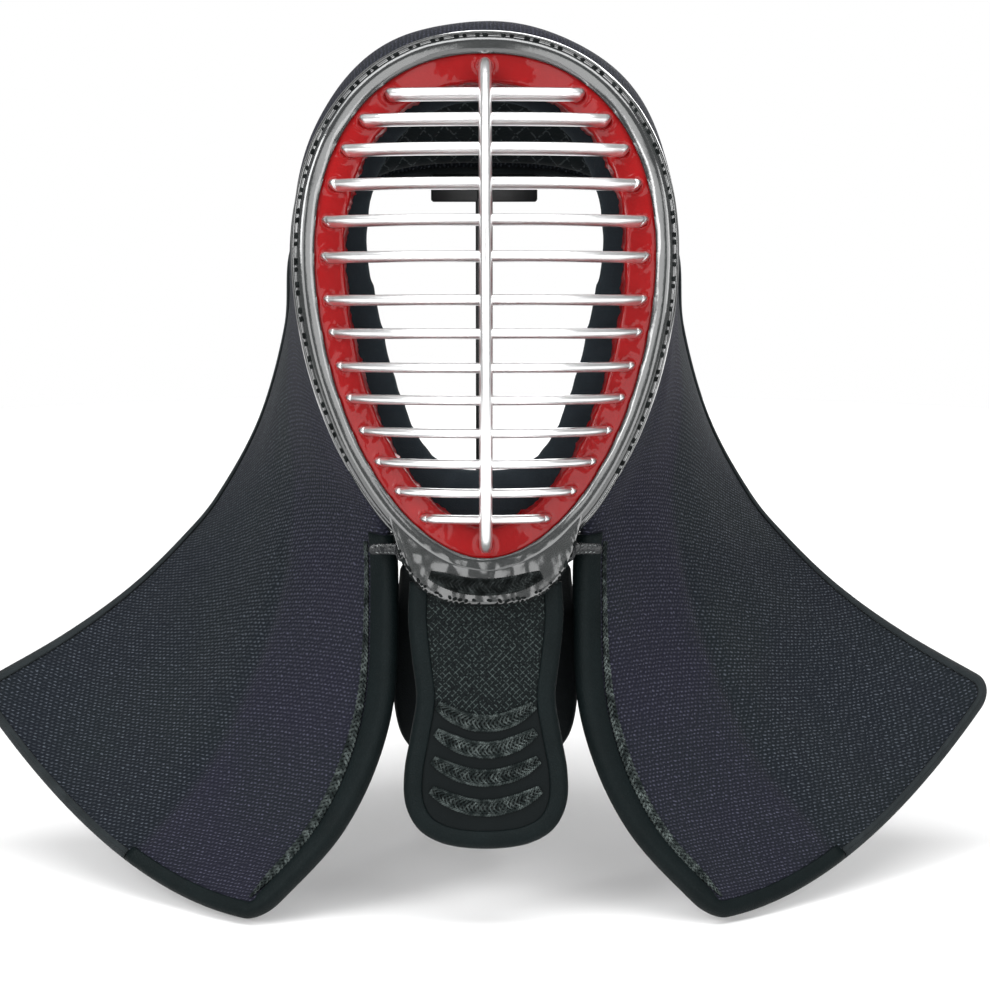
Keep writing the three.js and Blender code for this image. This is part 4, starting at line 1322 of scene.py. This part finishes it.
def lining_cotton():
    n = Nodes("quilted_lining_cotton")
    thread = n.diamonds(QUILT_PITCH, 0.5, 0.075, 0.03) * n.ramp(n.noise(700, 1), 0.4, 0.6)
    weave = n.ribs(n.flat()[0] * 4.5)
    color = n.mix(weave, (0.006, 0.009, 0.010), (0.014, 0.019, 0.021))
    return n.set(color=n.mix(thread * 0.55, color, (0.09, 0.105, 0.11)), rough=0.9, sheen=0.05, spec=0.1,
                 normal=n.bump(weave * 0.3 + n.noise(900, 2), 0.0003, 0.6))


def pad_cotton():
    """Short brushed cotton pile."""
    n = Nodes("brushed_cotton_pile")
    pile, soft = n.noise(1900, 3, 0.7), n.noise(75)
    return n.set(color=n.mix(pile * (soft + 0.3), (0.004, 0.006, 0.008), (0.026, 0.034, 0.041)), rough=0.95,
                 sheen=0.1, sheen_rough=0.6, sheen_tint=(0.35, 0.45, 0.5), spec=0.1,
                 normal=n.bump(pile + soft, 0.0005, 0.7))


def patent_leather():
    n = Nodes("patent_leather")
    soft, fine = n.noise(95), n.noise(420)
    folds = n.bump(soft + fine * 0.5, 0.0016, 0.8)
    return n.set(color=n.mix(soft, (0.004, 0.005, 0.006), (0.009, 0.011, 0.012)), rough=fine * 0.15 + 0.16,
                 coat=0.3, coat_rough=0.05, spec=0.2, normal=folds, coat_normal=folds)


def stand_paint():
    n = Nodes("satin_black_paint")
    fine = n.noise(1400)
    return n.set(color=n.mix(n.noise(50, 2), (0.010, 0.011, 0.012), (0.019, 0.020, 0.021)),
                 rough=fine * 0.12 + 0.34, normal=n.bump(fine, 0.00006, 0.6))


def pale_floor():
    n = Nodes("pale_floor")
    return n.set(color=n.mix(n.noise(3, 2), (0.86, 0.86, 0.86), (0.9, 0.9, 0.9)), rough=0.75,
                 normal=n.bump(n.noise(200, 2), 0.0001, 0.2))


# Putting it together
# The second colour of each thread is its painted highlight along the twists
thread_dark = braid_thread("black_braid_thread", (0.010, 0.014, 0.014), (0.125, 0.15, 0.145))
apron_thread = braid_thread("black_apron_thread", (0.003, 0.004, 0.004), (0.045, 0.052, 0.052))
strap_thread = braid_thread("pale_strap_thread", (0.06, 0.065, 0.065), (0.4, 0.42, 0.42))
lace_cord = braid_thread("black_lacing_cord", (0.004, 0.005, 0.005), (0.02, 0.024, 0.024))
smooth_leather = leather("matte_black_leather", (0.0012, 0.0034, 0.0037), (0.0042, 0.0085, 0.0092))
inner_leather = leather("inner_flap_leather", (0.004, 0.006, 0.007), (0.010, 0.014, 0.015))

make_grille(bar_metal())
make_red_rim(red_lacquer())
make_black_rim(black_lacquer())
make_rim_lacing(lace_cord)
make_cloth(indigo_cotton())
make_bindings(smooth_leather, tape_cotton())
make_edge_braids(thread_dark, lace_cord)
make_flaps(stitched_leather(), smooth_leather, inner_leather)
make_ridges(thread_dark, apron_thread, lace_cord)
make_chin_tabs(patent_leather(), strap_thread)
make_crown_lining(lining_cotton())
make_face_pad(pad_cotton())
make_stand(stand_paint())


# Floor, camera and light
FLOOR_RADIUS = 1.5
FLOOR_CORNERS = 128
floor_mesh = bpy.data.meshes.new("floor")
floor_turns = np.linspace(0, 2 * math.pi, FLOOR_CORNERS, endpoint=False)
floor_mesh.from_pydata([(FLOOR_RADIUS * math.cos(a), FLOOR_RADIUS * math.sin(a), 0) for a in floor_turns], [],
                       [tuple(range(FLOOR_CORNERS))])
floor = link("floor", floor_mesh)
floor.data.materials.append(pale_floor())


def turn_to(thing, place, target):
    thing.location = place
    thing.rotation_euler = (Vector(target) - Vector(place)).to_track_quat("-Z", "Y").to_euler()


CAMERA_DISTANCE = 1500.0
SENSOR_WIDTH = 36
PICTURE_PIXELS = 990
MM_PER_PIXEL = 0.485
camera_data = bpy.data.cameras.new("camera")
camera_data.sensor_width = SENSOR_WIDTH
camera_data.lens = SENSOR_WIDTH / PICTURE_PIXELS * CAMERA_DISTANCE / MM_PER_PIXEL
camera = link("camera", camera_data)
turn_to(camera, world([(-6, -CAMERA_DISTANCE, 300)])[0], world([(4.6, 0, 207.5)])[0])
bpy.context.scene.camera = camera

# Name, place, target, size and power
LIGHTS = (
    ("key_light", (-1.5, -1.5, 1.5), (0, 0, 0.22), (0.9, 1.3), 30),
    ("fill_light", (1.6, -1.6, 1.1), (0, 0, 0.22), (0.7, 1.5), 14),
    ("front_light_left", (-1.0, -2.3, 0.7), (0, 0, 0.3), (1.35, 1.9), 20),
    ("front_light_right", (1.0, -2.3, 0.7), (0, 0, 0.3), (1.35, 1.9), 20),
    ("top_light", (0, -0.5, 2.1), (0, 0, 0.2), (2.6, 0.9), 36),
    ("back_light", (0.6, 2.0, 1.2), (0, 0, 0.25), (1.6, 1.6), 30),
)
for name, place, target, (size, size_y), power in LIGHTS:
    lamp = bpy.data.lights.new(name, "AREA")
    lamp.shape, lamp.size, lamp.size_y, lamp.energy = "RECTANGLE", size, size_y, power
    turn_to(link(name, lamp), place, target)

# A white background that lights the helmet less than the camera sees it
world_settings = bpy.data.worlds.new("studio")
world_settings.use_nodes = True
tree = world_settings.node_tree
background = tree.nodes["Background"]
background.inputs["Color"].default_value = (1, 1, 1, 1)
seen = tree.nodes.new("ShaderNodeLightPath")
strength = tree.nodes.new("ShaderNodeMapRange")
strength.inputs["To Min"].default_value = 0.3
strength.inputs["To Max"].default_value = 1.0
tree.links.new(seen.outputs["Is Camera Ray"], strength.inputs["Value"])
tree.links.new(strength.outputs["Result"], background.inputs["Strength"])
bpy.context.scene.world = world_settings
bpy.context.scene.view_settings.view_transform = "Standard"
